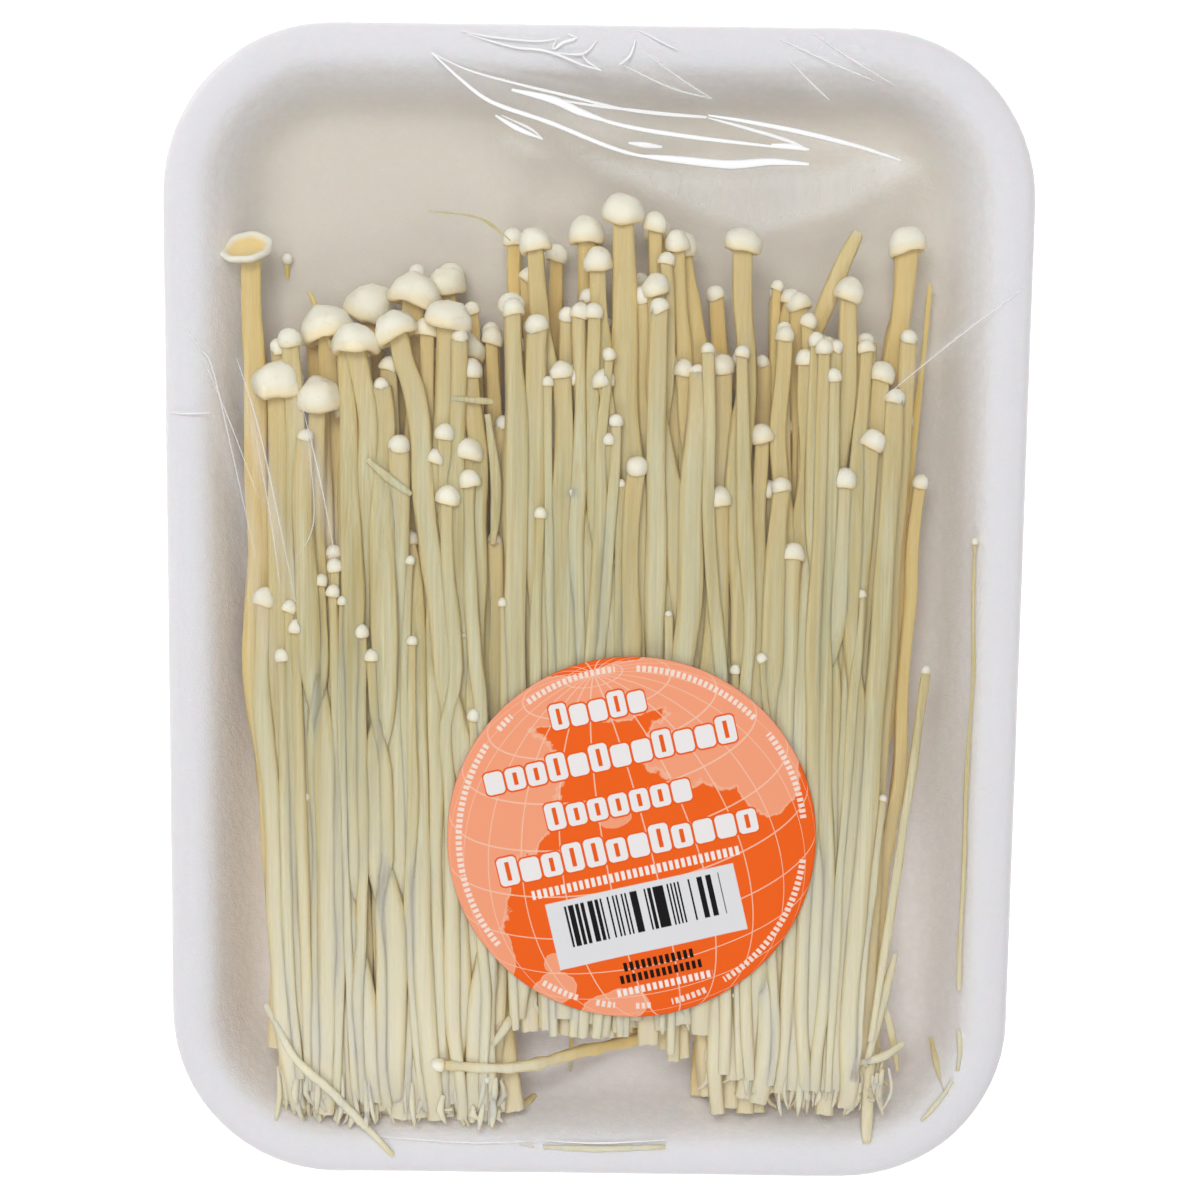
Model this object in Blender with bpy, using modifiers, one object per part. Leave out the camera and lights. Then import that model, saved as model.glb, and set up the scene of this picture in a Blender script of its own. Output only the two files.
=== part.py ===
"""A bunch of enoki mushrooms lying on a white foam tray, wrapped in clear film with a round label.

The mushrooms lie side by side along Y with their caps towards +Y and their cut feet towards -Y.
Lengths below are in millimetres and are turned into metres when a point is placed.
The origin is under the middle of the pack, on the surface that it stands on.
"""

import math

import bmesh
import bpy
import numpy as np

MM = 0.001
PACK = "enoki_mushroom_bunch"

# The foam tray, measured over its rim.
TRAY_WIDTH = 138.5
TRAY_LENGTH = 188.5
TRAY_CORNER = 27.0
FOAM = 3.2
# Its upper surface from the rim's edge to the floor: how far in from the edge, and how high.
TRAY_SECTIONS = [
    (0.0, 19.2),
    (0.8, 19.8),
    (3.0, 20.0),
    (5.2, 19.7),
    (6.8, 18.6),
    (8.0, 16.8),
    (10.4, 10.8),
    (12.8, 6.4),
    (15.4, 4.3),
    (18.6, 3.8),
]

# The film, stretched over the pack, down to the tray's foot and in under it.
FILM = 0.25
FILM_SIDES = [
    (42.0, FILM / 2),
    (14.5, FILM / 2),
    (12.4, 0.8),
    (-0.75, 16.2),
    (-0.75, 19.4),
    (0.4, 20.3),
    (3.0, 20.5),
    (5.6, 20.55),
]
FILM_RINGS = [0.86, 0.8, 0.74, 0.66, 0.5]
FILM_RIM = 20.55
FILM_CROWN = 23.4
# The crown is level inside this rectangle and falls to the rim over CROWN_FALL.
CROWN_X = 45.0
CROWN_Y = (-73.0, 50.0)
CROWN_FALL = 15.0

LABEL_RADIUS = 30.0
LABEL = 0.25
LABEL_AT = (6.5, -35.5)
LABEL_TURN = 13.0

GAP = 0.35
SIDES = 1  # a bevel resolution of 1 gives the stems six sides

# The lower stems of the bunch, joined into a bed for each of its three tufts:
# middle of the foot end, middle of the cap end, number of stems across.
BEDS = {
    "lower_stems_left": ((-33.0, -76.0), (-35.5, 26.0), 9),
    "lower_stems_middle": ((0.5, -70.0), (0.5, 40.0), 8),
    "lower_stems_right": ((32.5, -76.0), (30.5, 30.0), 8),
}
BED_PITCH = 3.7
BED_FLOOR = 4.3
BED_TOP = 9.2

# How high the three layers of mushrooms over the beds lie before they settle.
LAYERS = (11.6, 15.2, 18.8)

# One row a mushroom: cap x, cap y, foot x, foot y, stem width, cap width, sideways bow, layer.
LEFT_TUFT = [
    (-56.0, 61.5, -51.0, -74.0, 3.4, 7.2, -1.5, 1),
    (-51.0, 41.0, -48.5, -82.0, 3.4, 7.0, -1.0, 2),
    (-45.5, 38.5, -42.0, -82.5, 3.2, 6.2, -1.0, 2),
    (-40.5, 36.5, -37.0, -82.5, 3.2, 5.4, 1.0, 2),
    (-43.5, 50.0, -38.5, -81.5, 3.4, 7.4, 0.0, 1),
    (-37.5, 53.0, -34.0, -82.5, 3.4, 7.2, 0.0, 0),
    (-39.0, 47.0, -32.0, -83.5, 3.4, 6.6, -0.5, 2),
    (-30.0, 55.0, -27.0, -84.0, 3.6, 7.2, 0.0, 1),
    (-29.0, 49.0, -18.0, -84.0, 3.4, 6.4, 0.8, 2),
    (-25.0, 56.0, -22.0, -84.0, 3.0, 5.4, 0.0, 0),
    (-24.0, 51.0, -25.0, -84.0, 3.2, 6.0, 0.0, 2),
    (-22.0, 45.5, -14.0, -84.0, 3.4, 5.2, 0.0, 1),
    (-24.0, 35.5, -20.0, -84.0, 2.6, 4.2, 0.0, 1),
    (-23.5, 29.0, -21.5, -84.0, 2.6, 4.4, 0.0, 2),
    (-43.5, 22.5, -45.0, -82.0, 2.6, 3.6, 0.0, 1),
    (-49.0, 16.5, -46.0, -81.5, 2.6, 3.4, 0.0, 1),
]
MIDDLE_TUFT = [
    (-14.0, 52.5, -10.5, -69.5, 3.2, 3.8, 0.5, 2),
    (-11.5, 56.5, -6.5, -69.5, 3.0, 3.0, 0.5, 1),
    (-10.5, 62.5, -2.0, -70.0, 3.4, 4.5, 1.0, 2),
    (-14.0, 62.5, -9.5, -69.5, 2.6, 3.2, 0.0, 0),
    (-7.0, 60.0, -4.0, -70.0, 2.4, 3.2, 0.0, 0),
    (-2.0, 64.5, 1.0, -70.5, 3.4, 5.4, 0.0, 1),
    (0.0, 59.5, 3.0, -70.5, 3.0, 4.2, 0.0, 2),
    (3.5, 68.0, 10.0, -71.5, 4.0, 5.6, 0.0, 2),
    (-3.5, 41.0, -0.5, -70.0, 2.6, 3.4, 0.0, 2),
    (9.5, 64.5, 11.0, -71.5, 3.0, 4.0, 0.0, 0),
    (12.5, 62.0, 34.5, -79.5, 3.8, 4.6, 1.0, 1),
    (8.5, 55.5, 22.0, -76.5, 3.4, 4.2, 0.5, 2),
    (12.5, 42.0, 25.5, -77.0, 2.8, 3.0, 0.5, 2),
    (23.0, 63.0, 29.5, -77.5, 3.6, 5.2, -2.0, 2),
    (2.0, 29.5, 6.0, -70.5, 2.4, 2.6, 0.0, 1),
]
RIGHT_TUFT = [
    (18.0, 44.0, 20.0, -77.0, 2.8, 2.8, 0.0, 0),
    (23.5, 43.5, 23.5, -77.5, 3.0, 2.8, 0.0, 1),
    (29.5, 54.0, 28.0, -79.0, 3.2, 2.8, 0.0, 0),
    (30.0, 47.5, 30.5, -79.5, 3.0, 2.8, 0.0, 2),
    (32.5, 53.0, 35.0, -80.5, 3.0, 3.6, 0.0, 1),
    (33.0, 44.0, 33.0, -80.5, 2.8, 3.0, 0.0, 2),
    (35.0, 46.0, 37.5, -80.5, 2.8, 3.2, 0.0, 1),
    (40.0, 55.5, 37.0, -80.5, 3.2, 4.2, 0.5, 2),
    (43.5, 45.0, 41.5, -80.5, 3.0, 3.4, 0.5, 0),
    (45.5, 42.0, 42.5, -80.5, 3.4, 3.8, 0.5, 2),
    (50.0, 63.5, 44.0, -80.5, 4.0, 5.6, -1.0, 1),
    (54.5, 56.0, 45.5, -80.5, 3.0, 3.0, -1.5, 0),
    (53.0, 23.5, 47.0, -74.0, 2.2, 2.4, 0.0, 1),
]
TUFTS = {"left": LEFT_TUFT, "middle": MIDDLE_TUFT, "right": RIGHT_TUFT}

# Mushrooms that lie loose across the others: name, stem width, cap width and the path, foot first.
LOOSE = [
    ("loose_mushroom_right", 1.3, 1.9, [(61.3, -61.5, 19.3), (61.5, -26.0, 19.35), (61.4, 14.0, 19.35)]),
    ("loose_mushroom_foot", 1.7, 2.3, [(17.5, -81.5, 8.2), (2.0, -79.5, 7.2), (-8.0, -79.0, 8.2)]),
]

FOAM_WHITE = (0.93, 0.93, 0.92, 1.0)
CLEAR = (0.95, 0.97, 0.98, 0.15)
FLESH = (0.90, 0.85, 0.68, 1.0)
ORANGE = (0.85, 0.20, 0.02, 1.0)


def material(name, colour, roughness):
    """A Principled material that isn't metal."""
    made = bpy.data.materials.new(name)
    made.use_nodes = True
    shader = made.node_tree.nodes["Principled BSDF"]
    shader.inputs["Base Color"].default_value = colour
    shader.inputs["Roughness"].default_value = roughness
    shader.inputs["Metallic"].default_value = 0.0
    shader.inputs["Alpha"].default_value = colour[3]
    return made


def add(name, data, finish, collection):
    """Puts mesh or curve data in the scene as one named sub-part."""
    obj = bpy.data.objects.new(name, data)
    data.materials.append(finish)
    collection.objects.link(obj)
    return obj


def rounded_outline(inset, height, steps=6, spans=(3, 5)):
    """The tray's rounded rectangle, drawn in by inset, as points round it at one height.
    spans says how many pieces the short and the long straights are in."""
    half_x = TRAY_WIDTH / 2 - inset
    half_y = TRAY_LENGTH / 2 - inset
    radius = max(TRAY_CORNER - inset, 4.0)
    points = []
    for quarter in range(4):
        turn = quarter * math.pi / 2
        side_x = 1 if quarter in (0, 3) else -1
        side_y = 1 if quarter in (0, 1) else -1
        for step in range(steps + 1):
            angle = turn + step / steps * math.pi / 2
            x = side_x * (half_x - radius) + radius * math.cos(angle)
            y = side_y * (half_y - radius) + radius * math.sin(angle)
            points.append((x, y))
        # The straight after this corner ends where the next corner begins.
        pieces = spans[quarter % 2]
        if quarter % 2 == 0:
            end = (-points[-1][0], points[-1][1])
        else:
            end = (points[-1][0], -points[-1][1])
        start = points[-1]
        for piece in range(1, pieces):
            share = piece / pieces
            points.append((start[0] + share * (end[0] - start[0]), start[1] + share * (end[1] - start[1])))
    return [(x, y, height) for x, y in points]


def skin(name, sections, finish, collection):
    """An open skin bridged through closed sections and filled across the last one."""
    shape = bmesh.new()
    loops = []
    for section in sections:
        ring = [shape.verts.new([value * MM for value in point]) for point in section]
        loops.append([shape.edges.new((ring[i - 1], ring[i])) for i in range(len(ring))])
    for outer, inner in zip(loops, loops[1:]):
        bmesh.ops.bridge_loops(shape, edges=outer + inner)
    lid = bmesh.ops.edgeloop_fill(shape, edges=loops[-1])["faces"][0]
    bmesh.ops.recalc_face_normals(shape, faces=shape.faces)
    lid.normal_update()
    if lid.normal.z < 0:
        bmesh.ops.reverse_faces(shape, faces=shape.faces)
    mesh = bpy.data.meshes.new(name)
    shape.to_mesh(mesh)
    shape.free()
    mesh.shade_smooth()
    return add(name, mesh, finish, collection)


def thicken(obj, thickness, offset):
    """Gives a skin its wall: offset -1 puts all of it below the skin, 0 half on each side."""
    wall = obj.modifiers.new("wall", "SOLIDIFY")
    wall.thickness = thickness * MM
    wall.offset = offset
    return obj


def crown_height(x, y):
    """How high the film lies over the pack: level over the mushrooms, falling to the rim outside them."""
    out_x = max(abs(x) - CROWN_X, 0.0)
    out_y = max(CROWN_Y[0] - y, y - CROWN_Y[1], 0.0)
    away = min(math.hypot(out_x, out_y) / CROWN_FALL, 1.0)
    return FILM_RIM + (FILM_CROWN - FILM_RIM) * (1 - away * away * (3 - 2 * away))


def build_tray(collection):
    """The foam tray, one sheet of foam of even thickness."""
    sections = [rounded_outline(inset, height, spans=(1, 1)) for inset, height in TRAY_SECTIONS]
    foam = material("white_foam", FOAM_WHITE, 0.6)
    return thicken(skin("foam_tray", sections, foam, collection), FOAM, -1)


def build_film(collection):
    """The clear film: in under the tray, up its sides, over the rim and across the mushrooms."""
    sections = [rounded_outline(inset, height) for inset, height in FILM_SIDES]
    rim = sections[-1]
    for share in FILM_RINGS:
        sections.append([(x * share, y * share, crown_height(x * share, y * share)) for x, y, _ in rim])
    clear = material("clear_film", CLEAR, 0.08)
    return thicken(skin("clear_film", sections, clear, collection), FILM, 0)


def build_label(collection):
    """The round label, flat on the level part of the film."""
    height = FILM_CROWN + FILM / 2 + GAP + LABEL / 2
    bpy.ops.mesh.primitive_cylinder_add(
        vertices=48,
        radius=LABEL_RADIUS * MM,
        depth=LABEL * MM,
        location=(LABEL_AT[0] * MM, LABEL_AT[1] * MM, height * MM),
        rotation=(0, 0, math.radians(LABEL_TURN)),
    )
    label = bpy.context.object
    label.name = "round_label"
    label.data.materials.append(material("orange_label", ORANGE, 0.4))
    for other in list(label.users_collection):
        other.objects.unlink(label)
    collection.objects.link(label)
    return label


def build_bed(name, foot, end, count, finish, collection):
    """The lower stems of one tuft as one closed solid: a row of fused stems, drawn out along the tuft."""
    outline = []
    arc_steps = 3
    radius = BED_PITCH / 2
    for side in (1, -1):
        for stem in range(count):
            middle = side * (stem - (count - 1) / 2) * BED_PITCH
            for step in range(arc_steps):
                angle = math.pi * (0.15 + 0.7 * step / (arc_steps - 1))
                rise = (BED_TOP - BED_FLOOR) / 2 - radius * (1 - math.sin(angle)) * 0.8
                outline.append((middle - side * radius * math.cos(angle), side * rise))
    curve = bpy.data.curves.new(name, "CURVE")
    curve.dimensions = "2D"
    curve.fill_mode = "BOTH"
    length = math.hypot(end[0] - foot[0], end[1] - foot[1])
    curve.extrude = length / 2 * MM
    spline = curve.splines.new("POLY")
    spline.points.add(len(outline) - 1)
    for point, (across, up) in zip(spline.points, outline):
        point.co = (across * MM, up * MM, 0, 1)
    spline.use_cyclic_u = True
    bed = add(name, curve, finish, collection)
    turn = math.atan2(end[0] - foot[0], end[1] - foot[1])
    bed.rotation_euler = (math.pi / 2, 0, -turn)
    bed.location = (
        (foot[0] + end[0]) / 2 * MM,
        (foot[1] + end[1]) / 2 * MM,
        (BED_FLOOR + BED_TOP) / 2 * MM,
    )
    return bed


def tray_floor(x, y):
    """The height of the tray's upper surface at arrays of x and y."""
    inset = np.minimum(TRAY_WIDTH / 2 - abs(x), TRAY_LENGTH / 2 - abs(y))
    return np.interp(inset, [s[0] for s in TRAY_SECTIONS], [s[1] for s in TRAY_SECTIONS])


def bed_floor(x, y):
    """The height of the beds' tops at arrays of x and y, and 0 where there is no bed."""
    height = np.zeros(np.broadcast(x, y).shape)
    for foot, end, count in BEDS.values():
        share = np.clip((y - foot[1]) / (end[1] - foot[1]), 0, 1)
        middle = foot[0] + share * (end[0] - foot[0])
        over = abs(x - middle) < count * BED_PITCH / 2 + 3.5
        along = (y > foot[1] - 6.0) & (y < end[1] + 11.0)
        height = np.where(over & along, BED_TOP, height)
    return height


def settle(rows):
    """Lets the mushrooms of all tufts settle side by side and on each other without touching.
    Returns the stations along Y, each mushroom's x and z there, and where each one lies."""
    stations = np.arange(-87.0, 72.0, 1.5)
    cap_x, cap_y, foot_x, foot_y, stem, cap, bow, layer = np.array(rows, float).T[:, :, None]
    share = (stations - foot_y) / (cap_y - foot_y)
    held = np.clip(share, 0, 1)
    x = foot_x + held * (cap_x - foot_x) + bow * np.sin(math.pi * held)
    z = np.array(LAYERS)[layer.astype(int)] + 0 * x
    wanted_x = x.copy()
    wanted_z = z - (2 - layer) * 1.5 * held**3
    there = (share > -0.02) & (share < 1.01)
    cap_height = cap * 0.75
    radius = np.where(stations > cap_y - cap_height - 1.0, cap / 2, stem / 2)
    both = there[:, None] & there[None]
    both &= ~np.eye(len(rows), dtype=bool)[:, :, None]
    room = radius[:, None] + radius[None] + GAP + 0.15
    ceiling = np.vectorize(crown_height)
    rounds = 600
    for turn in range(rounds):
        away_x = x[:, None] - x[None]
        away_z = z[:, None] - z[None]
        apart = np.maximum(np.hypot(away_x, away_z), 0.05)
        push = np.where(both, np.maximum(room - apart, 0), 0) * 0.35 / apart
        x = x + (push * away_x).sum(1)
        z = z + (push * away_z).sum(1)
        if turn < rounds * 0.7:
            x = x + 0.03 * (wanted_x - x)
            z = z + 0.03 * (wanted_z - z)
        lowest = np.maximum(tray_floor(x, stations), bed_floor(x, stations)) + radius + GAP + 0.1
        lowest = np.maximum(lowest, tray_floor(abs(x) + radius + GAP, stations))
        if turn % 50 == 0:
            highest = ceiling(x, np.broadcast_to(stations, x.shape)) - FILM / 2 - radius - GAP - 0.35
        z = np.maximum(np.minimum(z, highest), lowest)
        for path in (x, z):
            bend = np.zeros_like(path)
            bend[:, 1:-1] = path[:, 2:] - 2 * path[:, 1:-1] + path[:, :-2]
            inside = there.copy()
            inside[:, 1:-1] &= there[:, 2:] & there[:, :-2]
            path += np.where(inside, 0.25 * bend, 0)
    return stations, x, z


def mushroom_curve(name, path, stem, cap, finish, collection):
    """One mushroom as a turned body along its path, foot first: the stem, then the cap's rings."""
    path = np.array(path, float)
    steps = np.linalg.norm(np.diff(path, axis=0), axis=1)
    along = np.concatenate([[0], np.cumsum(steps)])
    cap_height = cap * 0.72 if cap > stem * 1.15 else cap * 0.3
    rings = [(at, stem / 2 * (0.86 + 0.14 * math.sin(math.pi * at / along[-1]))) for at in along]
    rings = [ring for ring in rings if ring[0] < along[-1] - cap_height - 1.0]
    neck = along[-1] - cap_height
    # The cap's profile: share of its height, share of its half width.
    profile = [(0.06, 0.80), (0.28, 1.0), (0.55, 0.93), (0.8, 0.66), (0.97, 0.28)]
    rings.append((neck, stem / 2 * 0.84))
    rings += [(neck + share * cap_height, width * cap / 2) for share, width in profile]
    curve = bpy.data.curves.new(name, "CURVE")
    curve.dimensions = "3D"
    curve.bevel_depth = MM
    curve.bevel_resolution = SIDES
    curve.use_fill_caps = True
    spline = curve.splines.new("POLY")
    spline.points.add(len(rings) - 1)
    for point, (at, radius) in zip(spline.points, rings):
        place = [float(np.interp(at, along, path[:, axis])) * MM for axis in range(3)]
        point.co = (*place, 1)
        point.radius = radius
    return add(name, curve, finish, collection)


def build_tufts(finish, collection):
    """The upper mushrooms of the three tufts, settled together."""
    rows = [row for tuft in TUFTS.values() for row in tuft]
    stations, x, z = settle(rows)
    stem_step = 13.0
    index = 0
    for tuft, members in TUFTS.items():
        for number, row in enumerate(members, 1):
            _, cap_y, _, foot_y, stem, cap, _, _ = row
            pieces = max(2, round((cap_y - foot_y) / stem_step))
            path = [
                (float(np.interp(y, stations, x[index])), y, float(np.interp(y, stations, z[index])))
                for y in np.linspace(foot_y, cap_y, pieces + 1)
            ]
            name = f"mushroom_{tuft}_{number:02d}"
            mushroom_curve(name, path, stem, cap, finish, collection)
            index += 1


def main():
    for obj in list(bpy.data.objects):
        bpy.data.objects.remove(obj)
    collection = bpy.data.collections.new(PACK)
    bpy.context.scene.collection.children.link(collection)
    build_tray(collection)
    build_film(collection)
    build_label(collection)
    flesh = material("mushroom_flesh", FLESH, 0.5)
    for name, (foot, end, count) in BEDS.items():
        build_bed(name, foot, end, count, flesh, collection)
    build_tufts(flesh, collection)
    for name, stem, cap, path in LOOSE:
        mushroom_curve(name, path, stem, cap, flesh, collection)


main()
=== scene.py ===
"""A bunch of enoki mushrooms on a white foam tray, wrapped in clear film with a round label.

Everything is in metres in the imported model's frame. Lengths typed below are in millimetres and
are turned into metres by MM. +Y runs along the stems to the caps, and +Z is up.
"""

import math

import bpy
import numpy as np
from mathutils import Matrix, Vector, noise


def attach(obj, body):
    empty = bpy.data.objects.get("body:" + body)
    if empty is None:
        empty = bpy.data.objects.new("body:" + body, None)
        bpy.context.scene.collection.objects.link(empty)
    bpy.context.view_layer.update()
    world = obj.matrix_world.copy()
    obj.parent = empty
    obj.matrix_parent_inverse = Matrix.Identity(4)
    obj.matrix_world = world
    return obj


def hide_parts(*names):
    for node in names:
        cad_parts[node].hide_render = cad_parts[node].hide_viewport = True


MM = 0.001
BODY = "root"

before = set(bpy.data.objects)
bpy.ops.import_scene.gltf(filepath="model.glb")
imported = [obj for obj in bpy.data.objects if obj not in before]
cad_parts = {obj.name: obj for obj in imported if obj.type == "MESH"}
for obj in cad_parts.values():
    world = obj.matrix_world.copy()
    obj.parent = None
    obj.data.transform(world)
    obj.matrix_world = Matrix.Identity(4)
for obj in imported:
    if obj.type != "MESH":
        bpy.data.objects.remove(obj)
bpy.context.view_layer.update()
draw = np.random.default_rng(41)

# ---------------------------------------------------------------- the pack's shape

TRAY_WIDTH = 138.5
TRAY_LENGTH = 188.5
TRAY_CORNER = 27.0
FOAM = 3.2
# The tray's upper surface from the rim's edge to the floor: how far in from the edge, and how high.
TRAY_SECTIONS = [
    (0.0, 19.0), (0.35, 19.5), (1.0, 19.85), (2.0, 20.0), (3.4, 20.0), (4.6, 19.85),
    (5.6, 19.5), (6.5, 18.9), (7.2, 18.0), (8.0, 16.6), (9.2, 13.8), (10.4, 10.9),
    (11.6, 8.3), (12.9, 6.3), (14.2, 5.0), (15.8, 4.25), (17.6, 3.92), (20.0, 3.8),
]

# The film from under the tray, up its side and over its rim: how far in from the tray's edge, and how high.
FILM_SIDES = [
    (42.0, 0.15), (30.0, 0.15), (20.0, 0.15), (14.8, 0.16), (13.4, 0.45), (12.2, 1.2),
    (10.0, 3.7), (7.6, 6.5), (5.2, 9.3), (2.8, 12.1), (0.8, 14.5), (-0.45, 16.2),
    (-0.72, 17.4), (-0.62, 18.6), (-0.2, 19.6), (0.6, 20.2), (1.8, 20.5), (3.6, 20.58),
    (5.6, 20.6),
]
FILM_RIM = 20.6
FILM_CROWN = 23.35
CROWN_X = 45.0
CROWN_Y = (-73.0, 50.0)
CROWN_FALL = 15.0

LABEL_RADIUS = 30.0
LABEL_AT = (6.5, -35.5)
LABEL_TURN = 13.5


def smooth(share):
    """0 to 1 with level ends."""
    share = np.clip(share, 0, 1)
    return share * share * (3 - 2 * share)


def rounded_ring(inset, corner=16, spans=(24, 36)):
    """The tray's rounded rectangle, drawn in by inset, as an array of points round it."""
    half_x, half_y = TRAY_WIDTH / 2 - inset, TRAY_LENGTH / 2 - inset
    radius = max(TRAY_CORNER - inset, 5.0)
    points = []
    for quarter in range(4):
        side_x = 1 if quarter in (0, 3) else -1
        side_y = 1 if quarter in (0, 1) else -1
        for step in range(corner + 1):
            angle = (quarter + step / corner) * math.pi / 2
            points.append((
                side_x * (half_x - radius) + radius * math.cos(angle),
                side_y * (half_y - radius) + radius * math.sin(angle),
            ))
        start = points[-1]
        end = (-start[0], start[1]) if quarter % 2 == 0 else (start[0], -start[1])
        pieces = spans[quarter % 2]
        for piece in range(1, pieces):
            share = piece / pieces
            points.append(tuple(a + share * (b - a) for a, b in zip(start, end)))
    return np.array(points)


def crown_height(x, y):
    """How high the film lies over the pack, at arrays of x and y."""
    out_x = np.maximum(abs(x) - CROWN_X, 0.0)
    out_y = np.maximum(np.maximum(CROWN_Y[0] - y, y - CROWN_Y[1]), 0.0)
    return FILM_RIM + (FILM_CROWN - FILM_RIM) * (1 - smooth(np.hypot(out_x, out_y) / CROWN_FALL))


def tray_floor(x, y):
    """The height of the tray's upper surface at arrays of x and y."""
    inset = np.minimum(TRAY_WIDTH / 2 - abs(x), TRAY_LENGTH / 2 - abs(y))
    return np.interp(inset, [s[0] for s in TRAY_SECTIONS], [s[1] for s in TRAY_SECTIONS])


# ---------------------------------------------------------------- node helpers


def node(tree, kind, links=None, **settings):
    """Adds a node. links maps an input's name or number to a value or to another node's output."""
    made = tree.nodes.new(kind)
    for key, value in settings.items():
        setattr(made, key, value)
    for key, value in (links or {}).items():
        if isinstance(value, bpy.types.NodeSocket):
            tree.links.new(value, made.inputs[key])
        else:
            made.inputs[key].default_value = value
    return made


def maths(tree, operation, *values, clamp=False):
    """A maths node's output."""
    links = {i: value for i, value in enumerate(values)}
    return node(tree, "ShaderNodeMath", links, operation=operation, use_clamp=clamp).outputs[0]


def times(tree, first, second):
    """The product of two values."""
    return maths(tree, "MULTIPLY", first, second)


def plus(tree, first, second):
    """The sum of two values."""
    return maths(tree, "ADD", first, second)


def minus(tree, first, second):
    """The first value less the second."""
    return maths(tree, "SUBTRACT", first, second)


def over(tree, first, second):
    """The first value divided by the second."""
    return maths(tree, "DIVIDE", first, second)


def larger(tree, first, second):
    """The larger of two values."""
    return maths(tree, "MAXIMUM", first, second)


def smaller(tree, first, second):
    """The smaller of two values."""
    return maths(tree, "MINIMUM", first, second)


def length(tree, x, y):
    """How far a point at x and y is from nought."""
    return maths(tree, "SQRT", plus(tree, times(tree, x, x), times(tree, y, y)))


def white_noise(tree, value):
    """A random number from 0 to 1 for each value."""
    return node(tree, "ShaderNodeTexWhiteNoise", {"W": value}, noise_dimensions="1D").outputs[0]


def mix_colour(tree, share, low, high):
    """A mixed colour's output."""
    return node(tree, "ShaderNodeMix", {0: share, 6: low, 7: high}, data_type="RGBA").outputs[2]


def ramp(tree, value, low, high, low_out=0.0, high_out=1.0):
    """value taken from the range low to high into the range low_out to high_out, and held there."""
    links = {"Value": value, "From Min": low, "From Max": high, "To Min": low_out, "To Max": high_out}
    return node(tree, "ShaderNodeMapRange", links, clamp=True).outputs[0]


def attribute(tree, name):
    """A mesh attribute's value in a material."""
    return node(tree, "ShaderNodeAttribute", attribute_name=name).outputs["Fac"]


def object_noise(tree, scale, stretch=(1, 1, 1), detail=2.0, roughness=0.5):
    """Noise fixed to the object, scale cells to a metre, longer where stretch is smaller."""
    place = node(tree, "ShaderNodeTexCoord").outputs["Object"]
    place = node(tree, "ShaderNodeMapping", {"Vector": place, "Scale": stretch}).outputs[0]
    links = {"Vector": place, "Scale": scale, "Detail": detail, "Roughness": roughness}
    return node(tree, "ShaderNodeTexNoise", links).outputs[0]


def finish_material(name, roughness=0.5, **inputs):
    """A Principled material, its tree and its shader."""
    made = bpy.data.materials.new(name)
    made.use_nodes = True
    shader = made.node_tree.nodes["Principled BSDF"]
    shader.inputs["Roughness"].default_value = roughness
    for key, value in inputs.items():
        shader.inputs[key.replace("_", " ")].default_value = value
    return made, made.node_tree, shader


def bump(tree, shader, height, strength, distance):
    """Gives a shader a bumped surface."""
    links = {"Height": height, "Strength": strength, "Distance": distance}
    tree.links.new(node(tree, "ShaderNodeBump", links).outputs[0], shader.inputs["Normal"])


def colour(*rgb):
    """An sRGB colour given in 0 to 255 as a linear colour with alpha."""
    return (*[((c / 255 + 0.055) / 1.055) ** 2.4 if c > 10 else c / 3294.6 for c in rgb], 1.0)


# ---------------------------------------------------------------- materials


def object_axis(tree, axis):
    """One coordinate of the object's place, in mm."""
    place = node(tree, "ShaderNodeTexCoord").outputs["Object"]
    return over(tree, node(tree, "ShaderNodeSeparateXYZ", {0: place}).outputs[axis], MM)


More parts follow.
